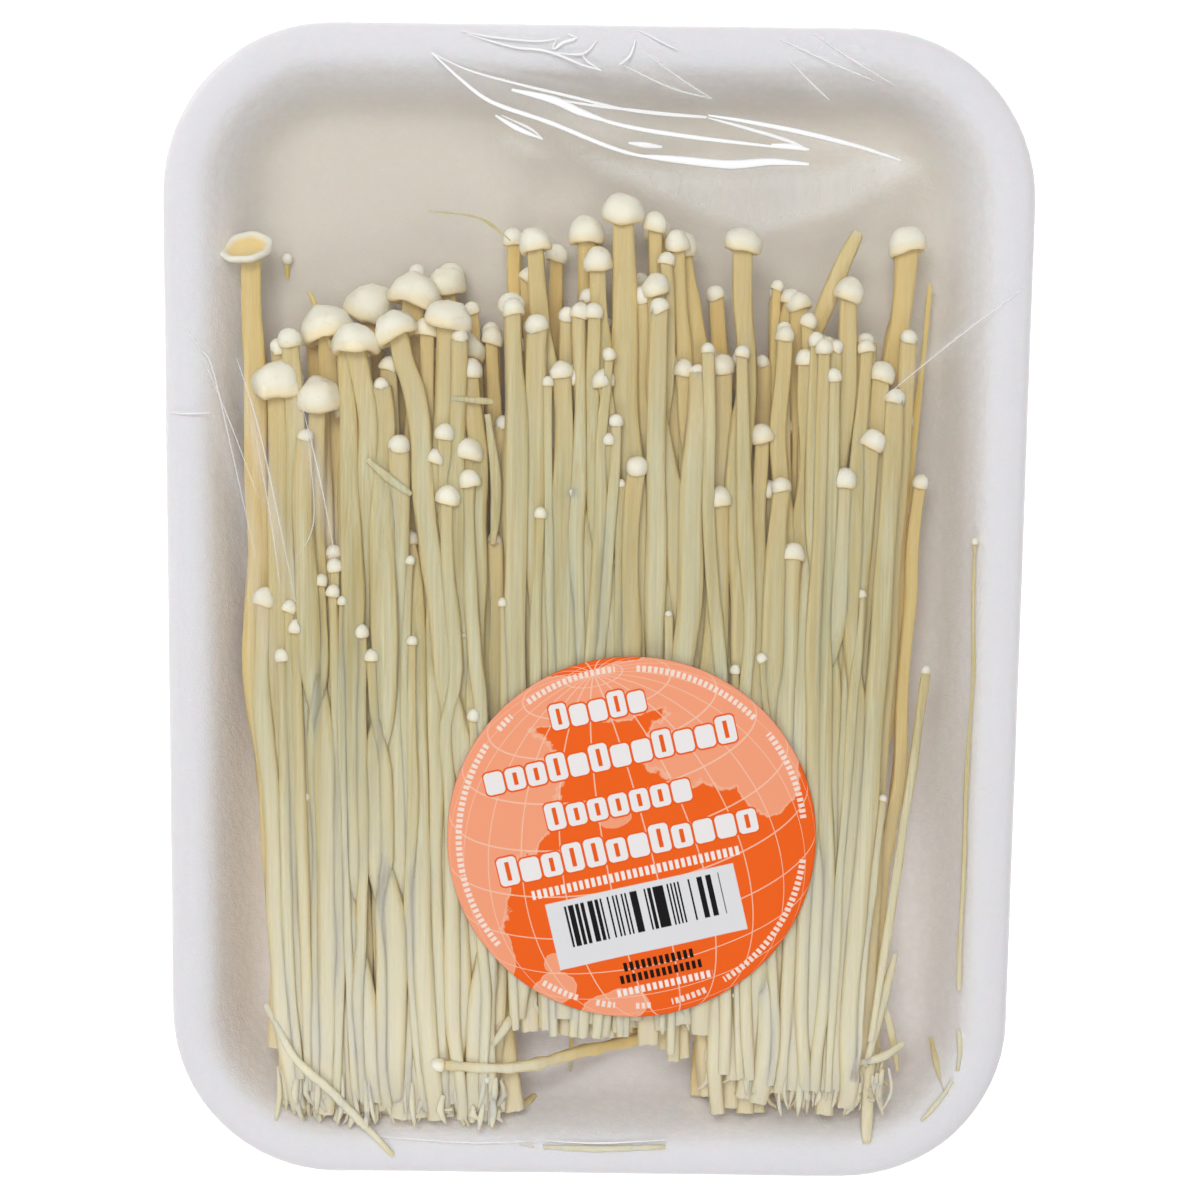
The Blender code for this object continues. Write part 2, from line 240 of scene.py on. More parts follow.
def stem_material():
    """Ivory stem flesh with long fibres, tan towards the caps. Painted light and shade: paler towards the feet, as if
    lit more strongly there, and a warmer tan deep in the bunch and on each stem's flanks, where shade falls between
    the stems.
    """
    made, tree, shader = finish_material("enoki_stem", 0.42, Subsurface_Weight=0.45, Subsurface_Scale=0.0025)
    shader.inputs["Subsurface Radius"].default_value = (1.0, 0.75, 0.35)
    fibres = object_noise(tree, 1500, (1, 0.03, 1), 3.0, 0.6)
    bands = object_noise(tree, 330, (1, 0.05, 1), 2.0)
    clouds = object_noise(tree, 38, (1, 0.6, 1), 2.0)
    both = plus(tree, times(tree, fibres, 0.45), times(tree, bands, 0.55))
    streak = ramp(tree, both, 0.36, 0.62)
    along = object_axis(tree, "Y")
    deep = ramp(tree, object_axis(tree, "Z"), 11.0, 21.0, 0.95, 0.0)
    tone = attribute(tree, "tone")
    base = mix_colour(tree, streak, colour(184, 172, 120), colour(219, 214, 180))
    base = mix_colour(tree, ramp(tree, clouds, 0.46, 0.66, 0.0, 0.3), base, colour(208, 208, 178))
    threads = object_noise(tree, 2600, (1, 0.012, 1), 2.0)
    base = mix_colour(tree, ramp(tree, threads, 0.5, 0.68, 0.0, 0.55), base, colour(198, 172, 116))
    base = mix_colour(tree, ramp(tree, tone, 0.0, 0.4, 0.5, 0.0), base, colour(218, 214, 184))
    base = mix_colour(tree, ramp(tree, tone, 0.55, 1.0, 0.0, 0.5), base, colour(208, 188, 136))
    # Painted light: the stems are paler towards the feet, as if lit more strongly there.
    base = mix_colour(tree, ramp(tree, along, -10.0, -70.0, 0.0, 0.8), base, colour(246, 236, 210))
    base = mix_colour(tree, ramp(tree, along, 10.0, 55.0, 0.0, 0.3), base, colour(214, 200, 150))
    # Painted shade: each stem's flanks turn tan, where shade falls between the stems.
    base = mix_colour(tree, ramp(tree, attribute(tree, "edge"), 0.4, 1.0, 0.0, 0.6), base, colour(216, 194, 130))
    # Painted shade: a warmer tan deep in the bunch, where shade falls between the stems.
    base = mix_colour(tree, deep, base, colour(236, 202, 124))
    base = mix_colour(tree, ramp(tree, attribute(tree, "share"), 0.86, 0.98, 0.0, 0.5), base, colour(216, 192, 136))
    base = mix_colour(tree, ramp(tree, attribute(tree, "share"), 0.0, 0.08, 0.5, 0.0), base, colour(224, 214, 188))
    tree.links.new(base, shader.inputs["Base Color"])
    bump(tree, shader, streak, 0.5, 0.0003)
    return made


def cap_material():
    """Off-white satin cap skin with faint freckles, creamier and tanner under the rim as painted shade beneath the
    cap.
    """
    made, tree, shader = finish_material("enoki_cap", 0.33, Subsurface_Weight=0.25, Subsurface_Scale=0.0018)
    shader.inputs["Subsurface Radius"].default_value = (1.0, 0.8, 0.5)
    dome = ramp(tree, attribute(tree, "dome"), -0.32, 0.1)
    # Painted shade: the underside, up to the widest ring, creamier and tanner, as the shade beneath the cap.
    base = mix_colour(tree, dome, colour(246, 218, 152), colour(248, 244, 226))
    freckles = object_noise(tree, 900, detail=3.0)
    base = mix_colour(tree, ramp(tree, freckles, 0.6, 0.8, 0.0, 0.35), base, colour(208, 186, 146))
    base = mix_colour(tree, ramp(tree, attribute(tree, "tone"), 0.75, 1.0, 0.0, 0.2), base, colour(238, 222, 186))
    tree.links.new(base, shader.inputs["Base Color"])
    bump(tree, shader, object_noise(tree, 700, detail=3.0), 0.25, 0.0003)
    return made


def foam_material():
    """White expanded foam: a pressed skin with the beads just showing through. Painted shade: the rim's top a little
    greyer, and the low floor and walls beige towards the cap end.
    """
    made, tree, shader = finish_material("white_foam", 0.42, Subsurface_Weight=0.15, Subsurface_Scale=0.003)
    place = node(tree, "ShaderNodeTexCoord").outputs["Object"]
    beads = node(tree, "ShaderNodeTexVoronoi", {"Vector": place, "Scale": 620.0}).outputs["Distance"]
    grain = object_noise(tree, 2600, detail=3.0)
    height = plus(tree, times(tree, beads, 0.5), times(tree, grain, 0.9))
    base = mix_colour(tree, ramp(tree, height, 0.35, 0.85), colour(247, 247, 250), colour(240, 240, 242))
    # Painted shade: the rim's top a little greyer.
    base = mix_colour(tree, ramp(tree, object_axis(tree, "Z"), 18.0, 20.0), base, colour(230, 230, 234))
    # Painted shade: the low floor and walls turn beige towards the cap end.
    low = ramp(tree, object_axis(tree, "Z"), 4.0, 15.0, 1.0, 0.0)
    far = ramp(tree, object_axis(tree, "Y"), -45.0, 40.0)
    base = mix_colour(tree, times(tree, low, times(tree, far, 0.85)), base, colour(212, 204, 189))
    tree.links.new(base, shader.inputs["Base Color"])
    bump(tree, shader, height, 0.5, 0.00025)
    return made


def film_material():
    """Clear glossy film, a little milky all over, and whiter where its attribute says so: painted highlights along its
    creases and rims, a painted reflection over the cap end, and doubled film.
    """
    made, tree, shader = finish_material("clear_film_finish", 0.14)
    shader.inputs["Base Color"].default_value = (1.0, 1.0, 1.0, 1.0)
    clear = node(tree, "ShaderNodeBsdfTransparent").outputs[0]
    gloss = node(tree, "ShaderNodeBsdfGlossy", {"Roughness": 0.07}).outputs[0]
    fresnel = node(tree, "ShaderNodeFresnel", {"IOR": 1.4}).outputs[0]
    shine = smaller(tree, fresnel, 0.16)
    skin = node(tree, "ShaderNodeMixShader", {0: shine, 1: clear, 2: gloss}).outputs[0]
    grain = object_noise(tree, 420, (1, 0.12, 1), 3.0)
    # Painted highlights and reflection: the attribute whitens the film, over a slight milkiness all over.
    haze_and_highlight = maths(tree, "MULTIPLY", attribute(tree, "haze_and_highlight"), ramp(tree, grain, 0.3, 0.7, 0.85, 1.15), clamp=True)
    both = node(tree, "ShaderNodeMixShader", {0: haze_and_highlight, 1: skin, 2: shader.outputs[0]})
    tree.links.new(both.outputs[0], tree.nodes["Material Output"].inputs["Surface"])
    return made


def fold_material():
    """A painted highlight on a sharp fold: white as strong as its attribute says, and clear between."""
    made, tree, shader = finish_material("film_fold_finish", 0.2)
    shader.inputs["Base Color"].default_value = (1.0, 1.0, 1.0, 1.0)
    clear = node(tree, "ShaderNodeBsdfTransparent").outputs[0]
    both = node(tree, "ShaderNodeMixShader", {0: attribute(tree, "haze_and_highlight"), 1: clear, 2: shader.outputs[0]})
    tree.links.new(both.outputs[0], tree.nodes["Material Output"].inputs["Surface"])
    return made


def plain_material(name, rgb, roughness, glow):
    """One even colour that glows a little, for the studio floor."""
    made, _, shader = finish_material(name, roughness)
    shader.inputs["Base Color"].default_value = rgb
    shader.inputs["Emission Color"].default_value = (1.0, 1.0, 1.0, 1.0)
    shader.inputs["Emission Strength"].default_value = glow
    return made


# ---------------------------------------------------------------- mushrooms by geometry nodes


def named(tree, name, kind="FLOAT"):
    """A named attribute's output in a geometry tree."""
    return node(tree, "GeometryNodeInputNamedAttribute", {"Name": name}, data_type=kind).outputs[0]


def store(tree, geometry, name, value):
    """Geometry with a float stored on its points."""
    links = {"Geometry": geometry, "Name": name, "Value": value}
    return node(tree, "GeometryNodeStoreNamedAttribute", links, data_type="FLOAT", domain="POINT").outputs[0]


def wobble(tree, geometry, scale, stretch, depth):
    """Geometry pushed in and out along its normals by noise."""
    place = node(tree, "GeometryNodeInputPosition").outputs[0]
    place = node(tree, "ShaderNodeVectorMath", {0: place, 1: stretch}, operation="MULTIPLY").outputs[0]
    lumps = node(tree, "ShaderNodeTexNoise", {"Vector": place, "Scale": scale, "Detail": 1.0}).outputs[0]
    push = times(tree, minus(tree, lumps, 0.5), depth)
    normal = node(tree, "GeometryNodeInputNormal").outputs[0]
    offset = node(tree, "ShaderNodeVectorMath", {0: normal, "Scale": push}, operation="SCALE").outputs[0]
    return node(tree, "GeometryNodeSetPosition", {"Geometry": geometry, "Offset": offset}).outputs[0]


def new_tree(name, inputs):
    """An empty geometry tree with named inputs, and its input and output nodes."""
    tree = bpy.data.node_groups.new(name, "GeometryNodeTree")
    tree.interface.new_socket("Lines", in_out="INPUT", socket_type="NodeSocketGeometry")
    for label, (kind, value) in inputs.items():
        made = tree.interface.new_socket(label, in_out="INPUT", socket_type="NodeSocket" + kind)
        if value is not None:
            made.default_value = value
    tree.interface.new_socket("Result", in_out="OUTPUT", socket_type="NodeSocketGeometry")
    return tree, tree.nodes.new("NodeGroupInput"), tree.nodes.new("NodeGroupOutput")


def curve_and_ring(tree, lines, step, sides):
    """The lines as smooth curves in even steps, and a circle to make their section from."""
    curve = node(tree, "GeometryNodeMeshToCurve", {"Mesh": lines}).outputs[0]
    curve = node(tree, "GeometryNodeCurveSplineType", {"Curve": curve}, spline_type="CATMULL_ROM").outputs[0]
    curve = node(tree, "GeometryNodeResampleCurve", {"Curve": curve, "Length": step}, mode="LENGTH").outputs[0]
    ring = node(tree, "GeometryNodeCurvePrimitiveCircle", {"Resolution": sides, "Radius": 1.0}).outputs[0]
    return curve, ring


def finished(tree, shape, finish):
    """The shape with its material."""
    return node(tree, "GeometryNodeSetMaterial", {"Geometry": shape, "Material": finish}).outputs[0]


def mushroom_tree():
    """Turns foot-to-cap lines into stems with fibrous ridges, and sets a cap on each line's end."""
    tree, given, result = new_tree("enoki_mushrooms", {
        "Stem sides": ("Int", 20),
        "Stem step": ("Float", 0.0018),
        "Stem flatness": ("Float", 0.74),
        "Ridge depth": ("Float", 0.001),
        "Cap segments": ("Int", 22),
        "Cap lumps": ("Float", 0.24),
        "Stem finish": ("Material", None),
        "Cap finish": ("Material", None),
    })
    lines = given.outputs["Lines"]
    curve, ring = curve_and_ring(tree, lines, given.outputs["Stem step"], given.outputs["Stem sides"])
    # The section is flattened and squared a little: its sides are fuller than an ellipse's.
    parts = node(tree, "ShaderNodeSeparateXYZ", {0: node(tree, "GeometryNodeInputPosition").outputs[0]}).outputs
    across, high = [
        times(tree, part, minus(tree, 1.4, times(tree, times(tree, part, part), 0.4)))
        for part in (parts["X"], parts["Y"])
    ]
    # edge is how far out to a side a ring point lies; the stem material paints those flanks tan as painted shade.
    ring = store(tree, ring, "edge", maths(tree, "ABSOLUTE", across))
    high = times(tree, high, given.outputs["Stem flatness"])
    squeezed = node(tree, "ShaderNodeCombineXYZ", {"X": across, "Y": high}).outputs[0]
    ring = node(tree, "GeometryNodeSetPosition", {"Geometry": ring, "Position": squeezed}).outputs[0]
    links = {"Curve": curve, "Profile Curve": ring, "Scale": named(tree, "girth"), "Fill Caps": True}
    stems = node(tree, "GeometryNodeCurveToMesh", links).outputs[0]
    stems = wobble(tree, stems, 900.0, (1.0, 0.04, 1.0), given.outputs["Ridge depth"])
    stems = finished(tree, stems, given.outputs["Stem finish"])

    # The cap: a bun above, and below its widest ring a rim that curls back in under it.
    links = {"Segments": given.outputs["Cap segments"], "Rings": 14, "Radius": 0.5}
    ball = node(tree, "GeometryNodeMeshUVSphere", links).outputs["Mesh"]
    parts = node(tree, "ShaderNodeSeparateXYZ", {0: node(tree, "GeometryNodeInputPosition").outputs[0]}).outputs
    ball = store(tree, ball, "dome", parts["Z"])
    below = times(tree, smaller(tree, parts["Z"], 0.0), -2.0)
    curl = times(tree, maths(tree, "SINE", times(tree, below, math.pi)), -0.24)
    above = maths(tree, "POWER", times(tree, larger(tree, parts["Z"], 0.0), 2.0), 0.9)
    height = plus(tree, times(tree, above, 0.74), curl)
    formed = node(tree, "ShaderNodeCombineXYZ", {"X": parts["X"], "Y": parts["Y"], "Z": height}).outputs[0]
    ball = node(tree, "GeometryNodeSetPosition", {"Geometry": ball, "Position": formed}).outputs[0]
    last = {0: named(tree, "share"), 1: 0.9999}
    ends = node(tree, "FunctionNodeCompare", last, operation="GREATER_THAN", data_type="FLOAT").outputs[0]
    points = node(tree, "GeometryNodeMeshToPoints", {"Mesh": lines, "Selection": ends}).outputs[0]
    cap_axis = named(tree, "cap_axis", "FLOAT_VECTOR")
    turn = node(tree, "FunctionNodeAlignRotationToVector", {"Vector": cap_axis}, axis="Z").outputs[0]
    links = {"Points": points, "Instance": ball, "Rotation": turn, "Scale": named(tree, "cap_size", "FLOAT_VECTOR")}
    caps = node(tree, "GeometryNodeInstanceOnPoints", links).outputs[0]
    caps = node(tree, "GeometryNodeRealizeInstances", {"Geometry": caps}).outputs[0]
    cap_width = node(tree, "ShaderNodeSeparateXYZ", {0: named(tree, "cap_size", "FLOAT_VECTOR")}).outputs["X"]
    caps = wobble(tree, caps, 330.0, (1.0, 1.0, 1.0), times(tree, cap_width, given.outputs["Cap lumps"]))
    caps = finished(tree, caps, given.outputs["Cap finish"])
    joined = node(tree, "GeometryNodeJoinGeometry")
    tree.links.new(stems, joined.inputs[0])
    tree.links.new(caps, joined.inputs[0])
    whole = node(tree, "GeometryNodeRealizeInstances", {"Geometry": joined.outputs[0]}).outputs[0]
    whole = node(tree, "GeometryNodeSetShadeSmooth", {"Geometry": whole}).outputs[0]
    tree.links.new(whole, result.inputs[0])
    return tree


def ribbon_tree():
    """Turns lines into thin bands: torn shreds of stem, or raised folds of film."""
    tree, given, result = new_tree("bands_along_lines", {
        "Sides": ("Int", 8),
        "Step": ("Float", 0.0012),
        "Thickness": ("Float", 0.3),
        "Ridge depth": ("Float", 0.0002),
        "Finish": ("Material", None),
    })
    curve, ring = curve_and_ring(tree, given.outputs["Lines"], given.outputs["Step"], given.outputs["Sides"])
    flat = node(tree, "ShaderNodeCombineXYZ", {"X": 1.0, "Y": given.outputs["Thickness"], "Z": 1.0}).outputs[0]
    place = node(tree, "GeometryNodeInputPosition").outputs[0]
    squeezed = node(tree, "ShaderNodeVectorMath", {0: place, 1: flat}, operation="MULTIPLY").outputs[0]
    ring = node(tree, "GeometryNodeSetPosition", {"Geometry": ring, "Position": squeezed}).outputs[0]
    links = {"Curve": curve, "Profile Curve": ring, "Scale": named(tree, "girth"), "Fill Caps": True}
    bands = node(tree, "GeometryNodeCurveToMesh", links).outputs[0]
    bands = wobble(tree, bands, 500.0, (1.0, 0.3, 1.0), given.outputs["Ridge depth"])
    bands = finished(tree, bands, given.outputs["Finish"])
    bands = node(tree, "GeometryNodeRealizeInstances", {"Geometry": bands}).outputs[0]
    bands = node(tree, "GeometryNodeSetShadeSmooth", {"Geometry": bands}).outputs[0]
    tree.links.new(bands, result.inputs[0])
    return tree


def line_mesh(name, lines):
    """Lines as a mesh of edges. Each line is a dict: points in mm from foot to cap, girth in mm at each
    point, tone, and for a mushroom its cap's axis and its size in mm."""
    counts = [len(line["points"]) for line in lines]
    starts = np.concatenate([[0], np.cumsum(counts)[:-1]]).astype(int)
    points = np.concatenate([np.asarray(line["points"], float) for line in lines]) * MM
    edges = [(int(s + i), int(s + i + 1)) for s, n in zip(starts, counts) for i in range(n - 1)]
    mesh = bpy.data.meshes.new(name)
    mesh.from_pydata(points.tolist(), edges, [])

    def per_point(label, kind, values):
        is_vector = kind == "FLOAT_VECTOR"
        spread = [
            np.broadcast_to(v, (n, *np.shape(v)[-1:]) if is_vector else (n,))
            for v, n in zip(values, counts)
        ]
        made = mesh.attributes.new(label, kind, "POINT")
        flat = np.ascontiguousarray(np.concatenate(spread), np.float32).ravel()
        made.data.foreach_set("vector" if is_vector else "value", flat)

    per_point("girth", "FLOAT", [np.asarray(line["girth"], float) * MM for line in lines])
    per_point("share", "FLOAT", [np.linspace(0, 1, n) for n in counts])
    per_point("tone", "FLOAT", [line.get("tone", 0.3) for line in lines])
    per_point("cap_axis", "FLOAT_VECTOR", [np.array(line.get("axis", (0.0, 1.0, 0.0))) for line in lines])
    per_point("cap_size", "FLOAT_VECTOR", [np.array(line.get("cap", (0.01, 0.01, 0.01))) * MM for line in lines])
    return mesh


def grow(name, lines, tree, values):
    """Runs a geometry tree on lines and returns the result as a plain mesh object."""
    obj = bpy.data.objects.new(name, line_mesh(name + "_lines", lines))
    bpy.context.scene.collection.objects.link(obj)
    modifier = obj.modifiers.new("grow", "NODES")
    modifier.node_group = tree
    sockets = {s.name: s.identifier for s in tree.interface.items_tree if s.in_out == "INPUT"}
    for label, value in values.items():
        modifier[sockets[label]] = value
    obj.update_tag()
    bpy.context.view_layer.update()
    evaluated = obj.evaluated_get(bpy.context.evaluated_depsgraph_get())
    mesh = bpy.data.meshes.new_from_object(evaluated)
    obj.modifiers.remove(modifier)
    obj.data = mesh
    mesh.name = name
    return obj


# ---------------------------------------------------------------- where the mushrooms lie

# Mushrooms with visible caps between the larger ones, one row each:
# cap x, cap y, foot x, foot y, stem width, cap width, how high in the bunch from 0 to 1.
SMALL_LEFT = [
    (-29.5, 55.0, -28.5, -81.5, 2.2, 2.8, 0.3),
    (-20.5, 49.0, -15.0, -83.5, 2.0, 2.8, 0.4),
    (-24.5, 54.0, -23.0, -83.5, 2.6, 5.2, 0.1),
    (-46.0, 16.0, -44.5, -79.5, 1.8, 2.4, 0.8),
    (-26.0, 25.5, -24.5, -83.5, 2.0, 3.3, 0.9),
    (-20.5, 22.0, -17.0, -84.5, 2.0, 3.6, 0.9),
    (-23.5, 19.5, -22.0, -84.5, 2.0, 3.9, 1.0),
    (-42.0, 8.0, -40.5, -81.5, 1.6, 2.6, 0.9),
    (-45.0, 5.5, -44.0, -81.5, 1.7, 2.6, 0.9),
    (-42.0, 4.0, -41.0, -81.5, 1.5, 2.3, 1.0),
    (-40.0, 2.5, -39.0, -81.5, 1.3, 1.9, 1.0),
    (-49.0, 1.0, -47.5, -79.5, 1.6, 2.5, 0.9),
    (-48.0, -2.0, -46.0, -79.5, 1.6, 2.6, 1.0),
    (-50.0, -7.0, -48.0, -77.5, 1.7, 2.5, 0.9),
    (-38.5, -2.5, -37.5, -81.5, 1.6, 2.5, 1.0),
    (-34.5, -6.5, -33.5, -82.5, 1.8, 2.8, 1.0),
    (-31.0, 9.0, -30.0, -83.5, 1.4, 1.8, 0.9),
    (-29.5, -4.0, -29.0, -83.5, 1.4, 1.9, 1.0),
    (-18.5, -16.0, -17.0, -84.5, 1.6, 2.2, 1.0),
    (-53.0, 22.0, -49.5, -77.5, 2.4, 3.0, 0.2),
]
SMALL_MIDDLE = [
    (-17.5, 45.5, -12.5, -71.0, 2.8, 3.2, 0.3),
    (-14.5, 2.5, -12.0, -68.5, 1.4, 1.8, 1.0),
    (-9.5, 17.0, -7.0, -68.5, 1.6, 2.1, 1.0),
    (10.5, 57.5, 14.0, -74.5, 2.2, 2.9, 0.8),
    (12.5, 60.0, 16.0, -74.5, 2.6, 4.1, 0.7),
    (9.0, 63.0, 13.0, -73.5, 2.6, 4.1, 0.6),
    (-5.0, 48.5, -2.5, -69.5, 2.2, 2.7, 0.8),
    (-3.0, 49.0, -0.5, -69.5, 2.2, 3.0, 0.9),
    (-0.5, 49.0, 2.0, -69.5, 2.2, 2.9, 0.9),
    (-8.0, 38.0, -5.5, -69.5, 1.6, 1.9, 1.0),
    (2.0, 42.5, -3.0, -69.5, 1.8, 2.3, 1.0),
    (2.5, 32.0, -1.0, -69.5, 1.8, 2.3, 1.0),
    (2.0, 29.0, 1.0, -69.5, 1.7, 2.3, 1.0),
    (4.0, 22.0, 6.0, -69.5, 1.3, 1.6, 1.0),
    (4.0, 9.5, 6.0, -69.5, 1.3, 1.6, 1.0),
    (12.0, 1.0, 13.5, -72.5, 1.4, 1.2, 1.0),
    (17.5, 43.5, 22.0, -75.5, 2.0, 2.3, 1.0),
    (23.0, 43.0, 26.5, -76.5, 2.0, 2.3, 1.0),
    (19.0, 52.0, 23.5, -76.5, 2.8, 3.2, 0.3),
]
SMALL_RIGHT = [
    (32.0, 51.5, 32.5, -78.5, 2.6, 3.4, 0.5),
    (29.0, 53.5, 30.5, -78.5, 1.6, 2.1, 0.4),
    (30.0, 46.5, 32.0, -78.5, 2.0, 2.5, 0.7),
    (33.5, 48.0, 35.0, -78.5, 2.2, 2.9, 0.8),
    (35.0, 45.0, 35.5, -78.5, 2.2, 3.0, 0.9),
    (36.0, 44.0, 37.0, -78.5, 2.2, 2.8, 1.0),
    (37.5, 39.5, 37.5, -78.5, 2.0, 2.4, 1.0),
    (38.0, 44.0, 38.5, -78.5, 2.0, 2.6, 0.9),
    (43.0, 44.0, 40.5, -78.5, 2.2, 2.9, 0.9),
    (43.5, 40.5, 41.5, -78.5, 2.2, 2.8, 0.7),
    (42.5, 4.5, 40.0, -78.5, 1.4, 1.8, 1.0),
    (28.0, -6.0, 29.5, -77.5, 1.4, 1.9, 1.0),
    (23.0, -8.0, 25.5, -76.5, 1.4, 1.8, 1.0),
    (54.0, -8.0, 46.5, -70.0, 1.3, 1.6, 1.0),
    (47.5, -29.0, 43.0, -76.5, 1.2, 1.4, 1.0),
]

# The under-layers of each tuft: how many stems, then the spans of foot x, cap x, cap y and foot y.
UNDER = {
    "left": (58, (-51.0, -16.0), (-54.0, -18.0), (2.0, 46.0), (-85.0, -78.0)),
    "middle": (46, (-13.0, 19.0), (-16.0, 19.0), (18.0, 54.0), (-69.5, -66.0)),
    "right": (44, (19.0, 44.5), (20.0, 50.0), (8.0, 46.0), (-84.0, -77.0)),
}


def cad_line(name):
    """A CAD mushroom's own line, read from its mesh: ring centres foot to cap, girths, and its cap's points."""
    points = np.array([v.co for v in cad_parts[name].data.vertices]) / MM
    points = points[np.argsort(points[:, 1])]
    splits = np.nonzero(np.diff(points[:, 1]) > 1.9)[0] + 1
    rings = np.split(points, splits)
    centres = [(ring.max(0) + ring.min(0)) / 2 for ring in rings]
    widths = [float(np.ptp(ring[:, 0])) for ring in rings]
    tip = rings[-1]
    return np.array(centres[:-1]), np.array(widths[:-1]) / 2, tip


def read_cad_mushroom(name):
    """A CAD mushroom as a line for the tree: its stem up to the cap's underside, and its cap."""
    centres, girths, tip = cad_line(name)
    low, high = tip.min(0), tip.max(0)
    width = float(high[0] - low[0])
    top = np.array([(low[0] + high[0]) / 2, high[1], (low[2] + high[2]) / 2])
    direction = top - centres[-1]
    direction /= np.linalg.norm(direction)
    return {"centres": centres, "girth": girths, "top": top, "width": width, "direction": direction}


# How close pressed stems may lie, as a share of their half widths' sum, and how often they are pushed apart.
PRESSED = 0.86
SETTLING_ROUNDS = 150


def settle(rows, fixed):
    """Lets the added mushrooms settle among the fixed ones without touching them much.
    Returns the stations along Y and each added mushroom's x and z there."""
    stations = np.arange(-90.0, 66.0, 3.0)
    cap_x, cap_y, foot_x, foot_y, stem, _, layer = np.array(rows, float).T[:, :, None]
    share = (stations - foot_y) / (cap_y - foot_y)
    held = np.clip(share, 0, 1)
    x = foot_x + held * (cap_x - foot_x)
    z = 6.0 + layer * 15.5 + 0 * x
    wanted_x, wanted_z = x.copy(), z.copy()
    radius = stem / 2 + 0 * x
    there = (share > -0.03) & (share < 1.03)
    own = len(rows)
    solid_x = np.array([np.interp(stations, f["points"][:, 1], f["points"][:, 0]) for f in fixed])
    solid_z = np.array([np.interp(stations, f["points"][:, 1], f["points"][:, 2]) for f in fixed])
    solid_r = np.array([np.interp(stations, f["points"][:, 1], f["girth"]) for f in fixed])
    solid_there = np.array([
        (stations > f["points"][0, 1] - 2) & (stations < f["points"][-1, 1] + 2) for f in fixed
    ])
    all_r = np.concatenate([radius, solid_r])
    all_there = np.concatenate([there, solid_there])
    both = there[:, None] & all_there[None]
    both[np.arange(own), np.arange(own)] = False
    room = (radius[:, None] + all_r[None]) * PRESSED
    weight = np.where(np.arange(len(all_r)) < own, 0.35, 0.6)[None, :, None]
    for _ in range(SETTLING_ROUNDS):
        away_x = x[:, None] - np.concatenate([x, solid_x])[None]
        away_z = z[:, None] - np.concatenate([z, solid_z])[None]
        apart = np.maximum(np.hypot(away_x, away_z), 0.05)
        push = np.where(both, np.maximum(room - apart, 0), 0) * weight / apart
        x = x + (push * away_x).sum(1) + 0.04 * (wanted_x - x)
        z = z + (push * away_z).sum(1) + 0.03 * (wanted_z - z)
        lowest = np.maximum(tray_floor(x, stations) + radius, tray_floor(abs(x) + radius, stations))
        highest = crown_height(x, stations + 0 * x) - 0.4 - radius
        z = np.maximum(np.minimum(z, highest), lowest)
        for path in (x, z):
            bend = np.zeros_like(path)
            bend[:, 1:-1] = path[:, 2:] - 2 * path[:, 1:-1] + path[:, :-2]
            inside = there.copy()
            inside[:, 1:-1] &= there[:, 2:] & there[:, :-2]
            path += np.where(inside, 0.3 * bend, 0)
    return stations, x, z


def cap_form(width, direction):
    """A cap's axis and size for a stem that ends in this direction. Small caps are rounder."""
    lean = draw.normal(0, 0.2, 2)
    axis = np.array(direction, float) * (1.0, 1.0, 0.5) + np.array([lean[0], 0, lean[1] * 0.7 - 0.02])
    axis /= np.linalg.norm(axis)
    tall = np.interp(width, [2.0, 7.0], [0.86, 0.68])
    long, deep = width * draw.uniform(0.97, 1.06), width * draw.uniform(0.92, 1.02)
    return axis, (long, deep, width * tall * draw.uniform(0.93, 1.07))


def shaped_girth(count, half_width):
    """A stem's half width foot to cap: fuller low down, thinner at the neck, with small swellings."""
    share = np.linspace(0, 1, count)
    swell = 1 + 0.06 * np.sin(share * draw.uniform(8, 16) + draw.uniform(0, 6))
    swell = swell + 0.04 * np.sin(share * draw.uniform(20, 34))
    neck = 1 - 0.2 * smooth((share - 0.7) / 0.3)
    foot = 0.82 + 0.18 * smooth(share / 0.18)
    return half_width * swell * neck * foot


def fill_rows():
    """All added mushrooms as rows, the listed small ones first, with the tuft of each."""
    rows, tufts = [], []
    for tuft, small in (("left", SMALL_LEFT), ("middle", SMALL_MIDDLE), ("right", SMALL_RIGHT)):
        rows += small
        tufts += [tuft] * len(small)
    for tuft, (count, foot_x, cap_x, cap_y, foot_y) in UNDER.items():
        for index in range(count):
            share = (index + 0.5) / count
            across = (share + draw.uniform(-0.02, 0.02))
            rows.append((
                cap_x[0] + across * (cap_x[1] - cap_x[0]) + draw.uniform(-2.2, 2.2),
                draw.uniform(*cap_y),
                foot_x[0] + across * (foot_x[1] - foot_x[0]),
                draw.uniform(*foot_y),
                draw.uniform(2.4, 3.8),
                draw.uniform(2.4, 4.4),
                [0.1, 0.45, 0.75, 0.3, 0.85][index % 5],
            ))
            tufts.append(tuft)
    return rows, tufts


def fill_lines(rows, stations, x, z):
    """The added mushrooms as lines for the tree."""
    lines = []
    for index, (cap_x, cap_y, _, foot_y, stem, cap, layer) in enumerate(rows):
        count = max(6, int((cap_y - foot_y) / 4))
        along = np.linspace(foot_y, cap_y, count)
        across, height = (np.interp(along, stations, path[index]) for path in (x, z))
        points = np.column_stack([across, along, height])
        direction = points[-1] - points[-2]
        direction /= np.linalg.norm(direction)
        axis, size = cap_form(max(cap, 0.02), direction)
        girth = shaped_girth(count, stem / 2 * 1.12)
        line = {"points": points, "girth": girth, "tone": draw.uniform(0, 1), "axis": axis, "cap": size}
        if cap == 0:
            line["girth"] = line["girth"] * (1 - 0.55 * np.linspace(0, 1, count) ** 3)
        lines.append(line)
    return lines


# ---------------------------------------------------------------- building


